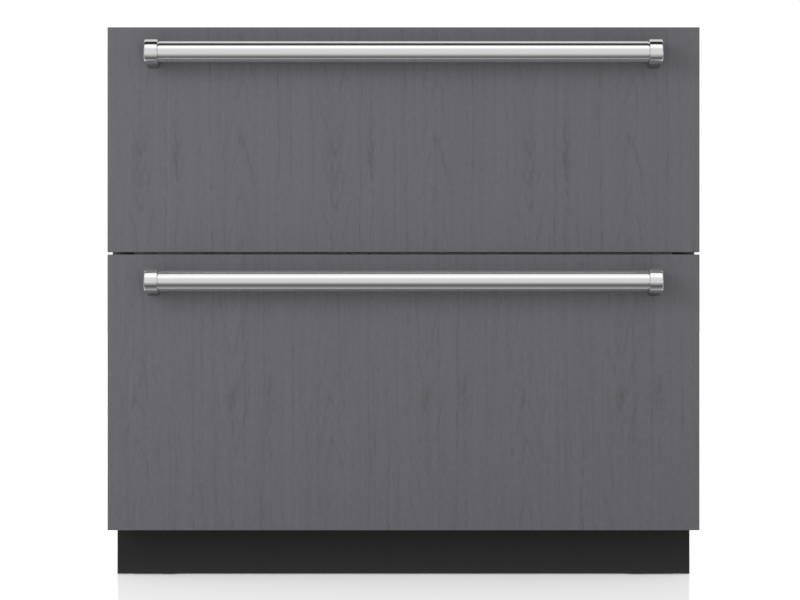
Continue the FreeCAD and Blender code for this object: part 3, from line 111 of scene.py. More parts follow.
class Paint:
    """One material: a Principled shader and the nodes that feed it."""

    def __init__(self, name, color, roughness, metallic=0.0, **settings):
        self.material = bpy.data.materials.new(name)
        self.material.use_nodes = True
        self.tree = self.material.node_tree
        self.shader = self.tree.nodes["Principled BSDF"]
        self.color, self.roughness = color, roughness
        self.shader.inputs["Base Color"].default_value = (*color, 1)
        self.shader.inputs["Roughness"].default_value = roughness
        self.shader.inputs["Metallic"].default_value = metallic
        for key, value in settings.items():
            self.shader.inputs[key.replace("_", " ")].default_value = value
        self._place = None

    def add(self, kind, **settings):
        node = self.tree.nodes.new(kind)
        for key, value in settings.items():
            setattr(node, key, value)
        return node

    def feed(self, socket, value):
        if isinstance(value, Field):
            self.tree.links.new(value.socket, socket)
        else:
            socket.default_value = value

    def math(self, operation, *inputs, clamp=False):
        node = self.add("ShaderNodeMath", operation=operation, use_clamp=clamp)
        for socket, value in zip(node.inputs, inputs):
            self.feed(socket, value)
        return Field(self, node.outputs["Value"])

    @property
    def place(self):
        """The point in the row frame, in metres, as a vector socket."""
        if self._place is None:
            self._place = Field(self, self.add("ShaderNodeTexCoord").outputs["Object"])
        return self._place

    def axes(self):
        node = self.add("ShaderNodeSeparateXYZ")
        self.feed(node.inputs[0], self.place)
        return [Field(self, node.outputs[axis]) for axis in "XYZ"]

    def vector(self, x, y, z):
        node = self.add("ShaderNodeCombineXYZ")
        for socket, value in zip(node.inputs, (x, y, z)):
            self.feed(socket, value)
        return Field(self, node.outputs[0])

    def noise(self, scale, stretch=(1, 1, 1), at=None, detail=3.0, rough=0.55, seed=0.0):
        """Fractal noise from 0 to 1, with features about 1 / scale metres across."""
        mapping = self.add("ShaderNodeMapping")
        self.feed(mapping.inputs["Vector"], at or self.place)
        mapping.inputs["Scale"].default_value = stretch
        mapping.inputs["Location"].default_value = (seed, seed * 0.7, -seed * 1.3)
        node = self.add("ShaderNodeTexNoise")
        self.tree.links.new(mapping.outputs[0], node.inputs["Vector"])
        for name, value in (("Scale", scale), ("Detail", detail), ("Roughness", rough)):
            node.inputs[name].default_value = value
        return Field(self, node.outputs["Fac"])

    def cells(self, scale, output="Distance"):
        """Cells about 1 / scale metres across: the distance from their centres, or a colour for each."""
        node = self.add("ShaderNodeTexVoronoi")
        self.feed(node.inputs["Vector"], self.place)
        node.inputs["Scale"].default_value = scale
        return Field(self, node.outputs[output])

    def mix(self, factor, first, second):
        """A colour between two colours or colour fields."""
        node = self.add("ShaderNodeMix", data_type="RGBA")
        self.feed(node.inputs["Factor"], factor)
        for name, value in (("A", first), ("B", second)):
            socket = [s for s in node.inputs if s.name == name and s.type == "RGBA"][0]
            self.feed(socket, value if isinstance(value, Field) else (*value, 1))
        output = [s for s in node.outputs if s.type == "RGBA"][0]
        return Field(self, output)

    def shade(self, amount):
        """The material's own colour, made lighter or darker by amount: 1 leaves it as it is."""
        node = self.add("ShaderNodeMix", data_type="RGBA", blend_type="MULTIPLY")
        node.inputs["Factor"].default_value = 1
        a, b = [s for s in node.inputs if s.type == "RGBA"]
        a.default_value = (*self.color, 1)
        grey = self.vector(amount, amount, amount)
        self.feed(b, grey)
        return Field(self, [s for s in node.outputs if s.type == "RGBA"][0])

    def set(self, name, field):
        self.feed(self.shader.inputs[name], field)
        return self

    def bump(self, height, depth, strength=1.0):
        """Raises the surface by up to depth metres where height is 1."""
        node = self.add("ShaderNodeBump")
        node.inputs["Distance"].default_value = depth
        node.inputs["Strength"].default_value = strength
        self.feed(node.inputs["Height"], height)
        self.tree.links.new(node.outputs["Normal"], self.shader.inputs["Normal"])
        return self


VENEER = (0.139, 0.136, 0.151)
LEAF_WIDTH = 0.2984

# Places across a leaf and half widths are parts of the leaf's width, and heights and half lengths are in
# metres. A cathedral is (place, half width, steepness, 1 if it points up or -1 if down, height of one tip).
# A dark smudge is (place, height, half width, half length, strength, slant). Lines are places.
UPPER_FIGURE = {
    "cathedrals": [(0.172, 0.095, 4.6, -1, 0.508), (0.686, 0.10, 5.0, 1, 0.566)],
    "smudges": [
        (0.165, 0.645, 0.034, 0.060, 1.0, 0.0),
        (0.352, 0.655, 0.026, 0.045, 1.0, 0.0),
        (0.355, 0.590, 0.009, 0.070, 0.8, 0.0),
        (0.690, 0.676, 0.020, 0.016, 0.9, 0.0),
        (0.720, 0.640, 0.010, 0.035, 0.8, -1.2),
    ],
    "lines": [0.876, 0.30, 0.53],
    "seed": 0.0,
}
LOWER_FIGURE = {
    "cathedrals": [(0.154, 0.10, 5.2, 1, 0.429), (0.645, 0.11, 4.8, -1, 0.371)],
    "smudges": [
        (0.645, 0.277, 0.026, 0.024, 1.0, 0.0),
        (0.650, 0.215, 0.010, 0.060, 0.7, 0.0),
        (0.835, 0.277, 0.024, 0.032, 1.0, 0.0),
        (0.840, 0.215, 0.009, 0.070, 0.9, 0.0),
        (0.165, 0.300, 0.012, 0.060, 0.7, 0.8),
    ],
    "lines": [0.347, 0.706, 0.80, 0.44],
    "seed": 4.7,
}


# How much each part of the figure changes the stain's tone.
LINE_TONE, SMUDGE_TONE, PORE_TONE = 0.105, 0.18, 0.04
BAND_TONE, FINE_TONE, FLECK_TONE, DRIFT_TONE = 0.16, 0.10, 0.25, 0.04
CATHEDRAL_PITCH, STRAIGHT_PITCH = 3.6, 17.0


def veneer(name, leaf_start, figure):
    """Stained open-grain oak veneer: equal leaves side by side, each with the same figure."""
    paint = Paint(name, VENEER, 0.4, IOR=1.45, Specular_IOR_Level=0.5)
    seed = figure["seed"]
    x, y, z = paint.axes()
    leaf = (x - leaf_start) / LEAF_WIDTH
    across = leaf - leaf.math("FLOOR")
    height = z / LEAF_WIDTH
    at = paint.vector(across, 0.0, height)
    wander = paint.noise(2.6, (0.8, 1, 1.2), at, detail=2.0, seed=seed + 3.1) - 0.5
    ripple = paint.noise(11, (0.8, 1, 0.6), at, detail=2.0, seed=seed + 8.3) - 0.5
    tremble = paint.noise(48, (0.9, 1, 0.35), at, detail=2.0, rough=0.6, seed=seed + 9.9) - 0.5
    column = across + wander * 0.05 + ripple * 0.027 + tremble * 0.008
    patches = paint.noise(3.6, (1.4, 1, 0.7), at, detail=2.0, seed=seed + 1.7)

    def narrow(distance, half_width):
        """1 on a line, falling to 0 at half_width from it."""
        return distance.math("ABSOLUTE").between(0.0, half_width, 1.0, 0.0)

    nothing = height * 0.0
    figured, line, smudge = nothing, nothing, nothing
    for centre, half_width, steepness, way, tip in figure["cathedrals"]:
        aside = column - centre
        rounded = (aside * aside + 0.00012).math("SQRT")
        layer = height - tip / LEAF_WIDTH + rounded * (steepness * way) + wander * 0.25
        layer = layer * CATHEDRAL_PITCH
        ring = layer - layer.math("FLOOR") - 0.5
        near = aside.math("ABSOLUTE").between(half_width * 0.55, half_width, 1.0, 0.0)
        line = line + narrow(ring, 0.17) * near * patches.between(0.30, 0.55)
        figured = figured.math("MAXIMUM", near)
    straight = column * STRAIGHT_PITCH + height * 0.25
    course = straight - straight.math("FLOOR") - 0.5
    line = line + narrow(course, 0.16) * (1.0 - figured) * patches.between(0.38, 0.62) * 0.75
    for centre in figure["lines"]:
        line = line + narrow(column - centre, 0.009) * patches.between(0.20, 0.50, 0.4, 1.0)
    broken = paint.noise(60, (1.3, 1, 0.16), at, detail=3.0, rough=0.7, seed=seed + 7.7)
    line = line * broken.between(0.36, 0.60, 0.25, 1.25)

    for centre, up, half_width, half_length, strength, slant in figure["smudges"]:
        rise = z - up
        aside = (column - centre - rise * slant) / half_width
        along = rise / half_length
        spot = (0.0 - aside * aside - along * along).math("EXPONENT")
        smudge = smudge + spot * strength
    streaks = paint.noise(52, (1.0, 1, 0.22), at, detail=4.0, rough=0.75, seed=seed + 5.5)
    smudge = smudge * streaks.between(0.42, 0.58)

    bands = paint.noise(150, (1.0, 1.0, 0.022), detail=1.0, seed=seed + 7.1) - 0.5
    fine = paint.noise(420, (1.0, 1.0, 0.012), detail=2.0, rough=0.75, seed=seed + 4.0) - 0.5
    pores = paint.noise(640, (1.0, 1.0, 0.035), detail=2.0, rough=0.6, seed=seed + 2.0)
    pore = pores.between(0.56, 0.70)
    flecks = paint.noise(230, (1.0, 1.0, 0.5), detail=2.0, rough=0.6, seed=seed + 6.6) - 0.5
    drift = paint.noise(3.0, (1.0, 1, 0.4), detail=1.0, seed=seed + 6.0) - 0.5

    tone = 1.0 - line * LINE_TONE - smudge * SMUDGE_TONE - pore * PORE_TONE + drift * DRIFT_TONE
    tone = tone + bands * BAND_TONE + fine * FINE_TONE + flecks * FLECK_TONE
    paint.set("Base Color", paint.shade(tone))
    paint.set("Roughness", 0.4 + pore * 0.14 + fine * 0.10)
    paint.bump(1.0 - pore * 0.7 - line * 0.2 - smudge * 0.2 + fine * 0.4, 0.00005, 0.6)
    return paint.material


def steel(name, color, roughness, stretch, brush=0.05, depth=0.0, metallic=1.0):
    """Drawn or brushed metal, with brush lines along the axis that stretch squeezes."""
    paint = Paint(name, color, roughness, metallic=metallic)
    lines = paint.noise(1500, stretch, detail=2.0, rough=0.7) - 0.5
    haze = paint.noise(18, detail=3.0) - 0.5
    paint.set("Roughness", roughness + lines * brush + haze * brush)
    paint.set("Base Color", paint.shade(1.0 + lines * 0.05 + haze * 0.03))
    if depth:
        paint.bump(lines, depth, 0.5)
    return paint.material


def painted(name, color, roughness, peel=0.00002, scale=900, mottle=0.05, **settings):
    """Paint, powder coat or moulded plastic: a fine uneven skin with faint colour drift."""
    paint = Paint(name, color, roughness, **settings)
    skin = paint.noise(scale, detail=2.0)
    drift = paint.noise(7, detail=3.0) - 0.5
    scuff = paint.noise(60, (1, 1, 0.3), detail=4.0, rough=0.7).between(0.62, 0.75)
    paint.set("Base Color", paint.shade(1.0 + drift * mottle + scuff * mottle * 0.6))
    paint.set("Roughness", roughness + (skin - 0.5) * 0.08 + scuff * 0.06)
    paint.bump(skin, peel, 0.6)
    return paint.material


def galvanised(name, color, roughness=0.42):
    """Zinc-coated sheet with its crystal pattern."""
    paint = Paint(name, color, roughness, metallic=0.85)
    warp = paint.noise(40, detail=2.0)
    crystal = paint.cells(95, output="Color")
    split = paint.add("ShaderNodeSeparateColor")
    paint.feed(split.inputs[0], crystal)
    tone = Field(paint, split.outputs[0])
    fine = paint.noise(700, (1, 1, 0.4), detail=2.0) - 0.5
    paint.set("Base Color", paint.shade(0.9 + tone * 0.14 + warp * 0.05 + fine * 0.05))
    paint.set("Roughness", roughness + tone * 0.14 + fine * 0.1 - 0.05)
    return paint.material


def foam(name):
    """Rigid polyurethane foam: fine closed cells."""
    paint = Paint(name, (0.80, 0.69, 0.42), 0.9)
    cell = paint.cells(900)
    blot = paint.noise(35, detail=3.0) - 0.5
    paint.set("Base Color", paint.shade(0.9 + cell * 0.2 + blot * 0.18))
    paint.bump(cell, 0.0003, 0.7)
    return paint.material


def copper(name):
    """Drawn copper tube that has started to brown."""
    paint = Paint(name, (0.78, 0.39, 0.25), 0.28, metallic=1.0)
    age = paint.noise(45, detail=4.0, rough=0.65)
    tone = age.between(0.40, 0.68)
    paint.set("Base Color", paint.mix(tone, (0.80, 0.41, 0.27), (0.36, 0.17, 0.10)))
    paint.set("Roughness", 0.24 + tone * 0.24)
    return paint.material


def cloudy_plastic(name, color, roughness=0.28, glow=0.0):
    """Milky moulded plastic with faint flow marks. glow makes it a lamp's cover."""
    paint = Paint(name, color, roughness, IOR=1.49, Subsurface_Weight=0.2, Subsurface_Scale=0.004)
    paint.shader.inputs["Emission Color"].default_value = (1.0, 0.97, 0.92, 1)
    paint.shader.inputs["Emission Strength"].default_value = glow
    flow = paint.noise(9, (1, 1, 0.4), detail=3.0) - 0.5
    fine = paint.noise(1400, detail=2.0)
    paint.set("Base Color", paint.shade(1.0 + flow * 0.02))
    paint.set("Roughness", roughness + flow * 0.05 + (fine - 0.5) * 0.08)
    paint.bump(fine, 0.000012, 0.5)
    return paint.material


ALONG_X, ALONG_Y, ALONG_Z = (0.02, 1, 1), (1, 0.02, 1), (1, 1, 0.02)
POLISHED = (0.88, 0.88, 0.88)
MATERIALS = {
    "upper_veneer": veneer("upper_veneer", upper_panel_low.x, UPPER_FIGURE),
    "lower_veneer": veneer("lower_veneer", lower_panel_low.x, LOWER_FIGURE),
    "handle_steel": steel("handle_steel", POLISHED, 0.10, ALONG_X, brush=0.04, metallic=0.93),
    "cap_steel": steel("cap_steel", POLISHED, 0.06, ALONG_X, brush=0.03, metallic=0.97),
    # Darker than the caps' steel: painted shade for the dark patch below each handle cap.
    "shaded_post_steel": steel("shaded_post_steel", (0.52, 0.52, 0.53), 0.24, ALONG_Z, brush=0.08),
    "front_steel": steel("front_steel", (0.55, 0.56, 0.57), 0.32, ALONG_X, brush=0.12, depth=0.000004),
    "cabinet_paint": painted("cabinet_paint", (0.36, 0.365, 0.37), 0.45),
    "zinc_sheet": galvanised("zinc_sheet", (0.60, 0.61, 0.62)),
    "black_coat": painted(
        "black_coat", (0.014, 0.014, 0.014), 0.42, peel=0.00004, Specular_IOR_Level=0.38
    ),
    "rail_zinc": steel("rail_zinc", (0.62, 0.64, 0.66), 0.30, ALONG_Y, brush=0.1),
    "foam": foam("foam"),
    "white_liner": painted("white_liner", (0.80, 0.81, 0.81), 0.35, peel=0.00001, mottle=0.02),
    "white_skin": painted("white_skin", (0.78, 0.79, 0.79), 0.4, peel=0.00002, mottle=0.02),
    "gasket_rubber": painted("gasket_rubber", (0.10, 0.10, 0.105), 0.62, peel=0.00003, mottle=0.1),
    "tub_plastic": cloudy_plastic("tub_plastic", (0.78, 0.80, 0.81)),
    "divider_plastic": cloudy_plastic("divider_plastic", (0.72, 0.75, 0.77), 0.22),
    "frame_paint": painted("frame_paint", (0.62, 0.63, 0.64), 0.4, mottle=0.03),
    "white_acetal": painted("white_acetal", (0.74, 0.74, 0.71), 0.38, peel=0.00001),
    "black_plastic": painted("black_plastic", (0.025, 0.025, 0.027), 0.45, scale=1600),
    "compressor_paint": painted(
        "compressor_paint", (0.016, 0.016, 0.017), 0.28, peel=0.00008, scale=420
    ),
    "fin_aluminium": steel("fin_aluminium", (0.80, 0.81, 0.82), 0.34, (1, 0.1, 0.1), brush=0.12),
    "copper": copper("copper"),
    "foot_zinc": steel("foot_zinc", (0.55, 0.55, 0.54), 0.34, (1, 1, 1), brush=0.1),
    "grey_nylon": painted("grey_nylon", (0.11, 0.11, 0.115), 0.5),
    "lamp_acrylic": cloudy_plastic("lamp_acrylic", (0.86, 0.86, 0.84), 0.2, glow=1.6),
    "display_light": cloudy_plastic("display_light", (0.75, 0.85, 0.95), 0.3, glow=1.6),
    "dark_glass": painted("dark_glass", (0.006, 0.007, 0.009), 0.06, peel=0.000002, Coat_Weight=1.0),
}

LOOKS = {
    "outer_shell": "cabinet_paint",
    "back_panel": "zinc_sheet",
    "base_pan": "zinc_sheet",
    "bay_panel": "zinc_sheet",
    "rear_cover": "zinc_sheet",
    "rear_cover_screws": "foot_zinc",
    "foam_insulation": "foam",
    "inner_liner": "white_liner",
    "mullion": "white_liner",
    "counter_brackets": "rail_zinc",
    "base_frame": "black_coat",
    "kick_plate": "black_coat",
    "compressor": "compressor_paint",
    "compressor_grommets": "black_plastic",
    "compressor_terminal_cover": "black_plastic",
    "condenser": "fin_aluminium",
    "condenser_fan_shroud": "zinc_sheet",
    "condenser_fan_motor": "cabinet_paint",
    "refrigerant_lines": "copper",
    "drain": "black_plastic",
    "evaporator": "fin_aluminium",
    "evaporator_fan_motor": "cabinet_paint",
    "duct_cover": "white_liner",
    "control_housing": "white_liner",
    "light_bars": "lamp_acrylic",
    "power_inlet": "black_plastic",
    "fixed_slides": "rail_zinc",
    "sync_racks": "white_acetal",
    "condenser_fan": "black_plastic",
    "evaporator_fan": "white_acetal",
    "left_foot": "foot_zinc",
    "right_foot": "foot_zinc",
    "left_roller": "grey_nylon",
    "right_roller": "grey_nylon",
    "colder_button": "grey_nylon",
    "warmer_button": "grey_nylon",
}
DRAWER_LOOKS = {
    "front_pan": "front_steel",
    "front_core": "white_skin",
    "gasket": "gasket_rubber",
    "handle_bar": "handle_steel",
    "handle_ends": "cap_steel",
    "tub": "tub_plastic",
    "drawer_frame": "frame_paint",
    "inner_slides": "rail_zinc",
    "middle_slides": "rail_zinc",
    "sync_shaft": "rail_zinc",
    "divider": "divider_plastic",
}
for prefix in ("upper", "lower"):
    LOOKS[f"{prefix}_panel"] = f"{prefix}_veneer"
    LOOKS.update({f"{prefix}_{piece}": look for piece, look in DRAWER_LOOKS.items()})


def dress(name, look):
    """Gives a CAD node its material."""
    piece = nodes[name]
    piece.data.materials.clear()
    piece.data.materials.append(MATERIALS[look])


def soften(name, width, segments=2):
    """Rounds the sharp edges of a CAD node a little, as folds, mouldings and machined edges are."""
    piece = nodes[name]
    weld = piece.modifiers.new("weld", "WELD")
    weld.merge_threshold = 0.005 * MM
    bevel = piece.modifiers.new("edges", "BEVEL")
    bevel.width = width * MM
    bevel.segments = segments
    bevel.limit_method = "ANGLE"
    bevel.angle_limit = math.radians(40)
    bevel.harden_normals = True


for name, look in LOOKS.items():
    dress(name, look)

SOFT_EDGES = {
    "outer_shell": 0.8,
    "kick_plate": 0.5,
    "mullion": 1.2,
    "inner_liner": 1.0,
    "counter_brackets": 0.3,
    "control_housing": 0.8,
    "light_bars": 1.0,
    "duct_cover": 0.6,
    "base_frame": 0.5,
    "power_inlet": 0.4,
    "compressor_terminal_cover": 1.2,
}
for prefix in ("upper", "lower"):
    SOFT_EDGES[f"{prefix}_panel"] = 0.8
    SOFT_EDGES[f"{prefix}_front_pan"] = 0.45
    SOFT_EDGES[f"{prefix}_drawer_frame"] = 0.35
for name, width in SOFT_EDGES.items():
    soften(name, width)

# ---------------------------------------------------------------- ways of making a piece


def add_piece(name, body, look, build, smooth_angle=35):
    """Builds a mesh piece, and lets it move with a body."""
    mesh = bpy.data.meshes.new(name)
    form = bmesh.new()
    build(form)
    bmesh.ops.recalc_face_normals(form, faces=form.faces)
    form.to_mesh(mesh)
    form.free()
    mesh.shade_smooth()
    mesh.set_sharp_from_angle(angle=math.radians(smooth_angle))
    mesh.materials.append(MATERIALS[look])
    piece = bpy.data.objects.new(name, mesh)
    bpy.context.scene.collection.objects.link(piece)
    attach(piece, body)
    return piece


def join_loops(form, one, two):
    """Faces between two closed loops of vertices."""
    for i in range(len(one)):
        j = (i + 1) % len(one)
        form.faces.new((one[i], one[j], two[j], two[i]))


def ring_sweep(form, low, high, profile):
    """Runs a closed profile round an upright rectangle. profile is (inset from its edge, y), in metres."""
    corners = []
    for x, z, way_x, way_z in (
        (low.x, low.z, 1, 1), (high.x, low.z, -1, 1), (high.x, high.z, -1, -1), (low.x, high.z, 1, -1)
    ):
        places = [(x + way_x * inset, y, z + way_z * inset) for inset, y in profile]
        corners.append([form.verts.new(place) for place in places])
    for here, there in zip(corners, corners[1:] + corners[:1]):
        join_loops(form, here, there)


def lathe(form, place, axis, rings, segments=24):
    """Turns rings of (distance along the axis, radius) about an axis.

    A radius may be a function of the angle.
    """
    axis = Vector(axis)
    side = axis.orthogonal().normalized()
    other = axis.cross(side)
    loops = []
    for along, radius in rings:
        loop = []
        for i in range(segments):
            angle = 2 * math.pi * i / segments
            reach = radius(angle) if callable(radius) else radius
            outward = side * math.cos(angle) + other * math.sin(angle)
            loop.append(form.verts.new(Vector(place) + axis * along + outward * reach))
        loops.append(loop)
    for one, two in zip(loops, loops[1:]):
        join_loops(form, one, two)
    form.faces.new(loops[0])
    form.faces.new(loops[-1])


def hexagon(across):
    """Radius of a hexagon, by angle."""
    sector = math.pi / 3
    return lambda angle: across / 2 / math.cos((angle + sector / 2) % sector - sector / 2)


def socket_screw(form, place, axis, radius, height):
    """Button head with a hexagonal socket."""
    key = hexagon(radius * 0.95)
    lathe(form, place, axis, [
        (0, radius), (height * 0.3, radius), (height * 0.7, radius * 0.88), (height * 0.95, radius * 0.70),
        (height, radius * 0.58), (height * 0.35, key),
    ])


def washer_screw(form, place, axis, radius, height):
    """Hexagon head on its own washer."""
    head = hexagon(radius * 1.25)
    small = hexagon(radius * 1.05)
    lathe(form, place, axis, [
        (0, radius), (height * 0.22, radius), (height * 0.30, radius * 0.93), (height * 0.31, head),
        (height * 0.85, head), (height, small),
    ])


def strip(form, low, high, chamfer):
    """A thin bar with chamfered long edges, between two opposite corners."""
    box = bmesh.ops.create_cube(form, size=1)["verts"]
    size, middle = high - low, (low + high) / 2
    for vertex in box:
        vertex.co = middle + Vector(a * b for a, b in zip(vertex.co, size))
    edges = {edge for vertex in box for edge in vertex.link_edges}
    bmesh.ops.bevel(form, geom=list(edges), offset=chamfer, segments=2, affect="EDGES", profile=0.6)


def tablet(form, outline, low_y, high_y, chamfer):
    """A flat raised shape facing -Y: outline is (x, z), low_y its face and high_y its foot."""
    middle = Vector((sum(x for x, z in outline), sum(z for x, z in outline))) / len(outline)
    rings = []
    for y, shrink in ((high_y, 0.0), (low_y + chamfer, 0.0), (low_y, chamfer)):
        ring = []
        for x, z in outline:
            inward = (middle - Vector((x, z))).normalized() * shrink
            ring.append(form.verts.new((x + inward.x, y, z + inward.y)))
        rings.append(ring)
    for one, two in zip(rings, rings[1:]):
        join_loops(form, one, two)
    form.faces.new(rings[0])
    form.faces.new(rings[-1])


def profile_bar(form, profile, front, level, start, end):
    """Runs a closed profile along X. profile is (ahead of front, above level), in millimetres."""
    here, there = [
        [form.verts.new((x, front - ahead * MM, level + up * MM)) for ahead, up in profile]
        for x in (start, end)
    ]
    join_loops(form, here, there)
    form.faces.new(here)
    form.faces.new(there)


def bead(form, start, end, outward, half_width, height):
    """A pressed stiffening bead: a rounded ridge with round ends, standing on a flat sheet."""
    outward = Vector(outward)
    along = (end - start).normalized()
    across = outward.cross(along)
    turns, rise, sunk = 10, 6, 0.2 * MM
    steps = [(half_width, -sunk)]
    for step in range(rise):
        slope = step / rise * math.pi / 2
        steps.append((half_width * math.cos(slope), height * math.sin(slope)))
    loops = []
    for reach, lift in steps:
        loop = []
        for middle, facing in ((start, -1), (end, 1)):
            for i in range(turns + 1):
                angle = math.pi * (i / turns - 0.5)
                spot = middle + (along * math.cos(angle) + across * math.sin(angle)) * (facing * reach)
                loop.append(form.verts.new(spot + outward * lift))
        loops.append(loop)
    for one, two in zip(loops, loops[1:]):
        join_loops(form, one, two)
    form.faces.new(loops[0])
    form.faces.new(loops[-1])


# ---------------------------------------------------------------- drawer fronts

# Both profiles are (inset from the gasket's outer edge, distance behind its front), in millimetres.
GASKET_PROFILE = [
    (0.2, 0.0), (10.8, 0.0), (10.9, 1.2), (9.4, 1.6), (8.2, 2.9), (10.1, 4.4), (10.2, 5.0), (8.4, 6.4),
    (10.3, 7.2), (10.8, 8.0), (10.8, 11.2), (10.2, 11.9), (5.5, 12.0), (0.8, 11.9), (0.2, 11.2), (0.2, 8.0),
    (0.7, 7.2), (2.6, 6.4), (0.8, 5.0), (0.9, 4.4), (2.8, 2.9), (1.6, 1.6), (0.1, 1.2),
]
RIB_PROFILE = [
    (14.0, -0.2), (14.6, 2.6), (16.0, 4.4), (18.0, 5.0),
    (31.5, 5.0), (34.0, 4.4), (35.4, 2.6), (36.0, -0.2),
]


CAP_RADIUS, CAP_WIDTH, CAP_ROUND = 18.8 * MM, 21 * MM, 1.8 * MM
NECK_RADIUS, NECK_OVERLAP = 14.9 * MM, 1 * MM
POST_SLIM, POST_RISE, POST_DROP = 16.5 * MM, 17.8 * MM, 23.2 * MM
POST_CORNER, POST_INSET, POST_START = 4 * MM, 0.8 * MM, 9 * MM


def make_handle_ends(prefix):
    """The turned caps at a bar's ends, and their posts to the panel, which reach down at the foot; the
    posts' darker steel is painted shade below the caps.
    """
    low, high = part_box(f"{prefix}_handle_ends")
    bar_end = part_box(f"{prefix}_handle_bar")[1].x
    axis_y, axis_z = low.y + CAP_RADIUS, (low.z + high.z) / 2
    arcs = [math.pi / 2 * step / 4 for step in range(5)]
    outer = [(CAP_ROUND * (1 - math.cos(a)), CAP_RADIUS - CAP_ROUND * (1 - math.sin(a))) for a in arcs]
    inner = [(CAP_WIDTH - along, radius) for along, radius in outer[::-1]]
    neck_end = high.x - bar_end + NECK_OVERLAP
    neck = [(CAP_WIDTH, NECK_RADIUS), (neck_end, NECK_RADIUS)]

    def caps(form):
        for way in (-1, 1):
            place = (way * high.x, axis_y, axis_z)
            lathe(form, place, (-way, 0, 0), outer + inner + neck, segments=64)

    left = high.x - CAP_WIDTH + POST_INSET + POST_CORNER
    right = high.x - POST_INSET - POST_CORNER

    def section(rise, drop):
        """A rounded rectangle in X and Z, from drop below the bar's axis to rise above it."""
        top, bottom = rise - POST_CORNER, POST_CORNER - drop
        points = []
        for quarter, (x, up) in enumerate(((right, top), (left, top), (left, bottom), (right, bottom))):
            for a in arcs:
                turn = a + quarter * math.pi / 2
                points.append((x + POST_CORNER * math.cos(turn), up + POST_CORNER * math.sin(turn)))
        return points

    def posts(form):
        start, steps = axis_y + POST_START, 8
        for way in (-1, 1):
            loops = []
            for step in range(steps + 1):
                part = step / steps
                outline = section(
                    POST_SLIM + (POST_RISE - POST_SLIM) * part ** 2,
                    POST_SLIM + (POST_DROP - POST_SLIM) * part ** 2,
                )
                y = start + (high.y - start) * part
                loops.append([form.verts.new((way * x, y, axis_z + up)) for x, up in outline])
            for one, two in zip(loops, loops[1:]):
                join_loops(form, one, two)
            form.faces.new(loops[0])
            form.faces.new(loops[-1])

    drawer = f"{prefix}_drawer"
    turned = add_piece(f"{prefix}_handle_caps", drawer, "cap_steel", caps)
    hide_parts(f"{prefix}_handle_ends")
    # The posts take the darker steel, painted shade below the caps.
    add_piece(f"{prefix}_handle_posts", drawer, "shaded_post_steel", posts)


def make_front_details(prefix):
    """The bellows gasket, and the raised rib of the inner door moulding that it surrounds."""
    low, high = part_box(f"{prefix}_gasket")

    def profile(points):
        return [(inset * MM, low.y + out * MM) for inset, out in points]

    gasket = add_piece(
        f"{prefix}_bellows_gasket",
        f"{prefix}_drawer",
        "gasket_rubber",
        lambda form: ring_sweep(form, low, high, profile(GASKET_PROFILE)),
        smooth_angle=50,
    )
    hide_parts(f"{prefix}_gasket")
    add_piece(
        f"{prefix}_front_rib",
        f"{prefix}_drawer",
        "white_skin",
        lambda form: ring_sweep(form, low, high, profile(RIB_PROFILE)),
        smooth_angle=50,
    )


# ---------------------------------------------------------------- slides


def make_slide_details(prefix):
    """Screws that hold the drawer members, and the ball cages on both sides of the middle members."""
    low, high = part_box(f"{prefix}_inner_slides")
    web = high.x - 4.2 * MM
    level = (low.z + high.z) / 2
    screw_places = [low.y + 28 * MM, low.y + 150 * MM, low.y + 272 * MM, high.y - 22 * MM]
    screw_radius, screw_height = 3.6 * MM, 1.8 * MM

    def screws(form):
        for side in (-1, 1):
            for y in screw_places:
                socket_screw(form, (side * web, y, level), (side, 0, 0), screw_radius, screw_height)

    add_piece(f"{prefix}_slide_screws", f"{prefix}_drawer", "foot_zinc", screws)

    middle_low, middle_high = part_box(f"{prefix}_middle_slides")
    ball, pitch, half_sheet, chamfer = 1.1 * MM, 15 * MM, 0.25 * MM, 0.1 * MM
    clearance, end_gap = 1.25 * MM, 6 * MM
    reach_inner = high.z - level + clearance
    reach_outer = middle_high.z - level + clearance
    # Each race is (front, back, height above the slide's middle, x, half width).
    races = [
        (middle_low.y + end_gap, 10 * MM, reach_inner, middle_high.x - 5.6 * MM, 1.9 * MM),
        (14 * MM, middle_high.y - end_gap, reach_outer, middle_high.x - 3.6 * MM, 2.2 * MM),
    ]

    def cages(form):
        for side in (-1, 1):
            for front, back, reach, x, half_width in races:
                for way in (-1, 1):
                    z = level + way * reach
                    centre = side * x
                    strip(
                        form,
                        Vector((centre - half_width, front, z - half_sheet)),
                        Vector((centre + half_width, back, z + half_sheet)),
                        chamfer,
                    )
                    for i in range(int((back - front) / pitch)):
                        spot = Matrix.Translation((centre, front + pitch * (i + 0.5), z))
                        bmesh.ops.create_icosphere(form, subdivisions=1, radius=ball, matrix=spot)

    add_piece(f"{prefix}_ball_cages", f"{prefix}_middle_slides", "foot_zinc", cages)


# ---------------------------------------------------------------- controls and cabinet


# The lit bars of two seven-bar digits, as (start, end) on a grid two high and one wide.
DIGIT_THREE = [((0, 2), (1, 2)), ((0, 1), (1, 1)), ((0, 0), (1, 0)), ((1, 1), (1, 2)), ((1, 0), (1, 1))]
DIGIT_EIGHT = DIGIT_THREE + [((0, 1), (0, 2)), ((0, 0), (0, 1))]


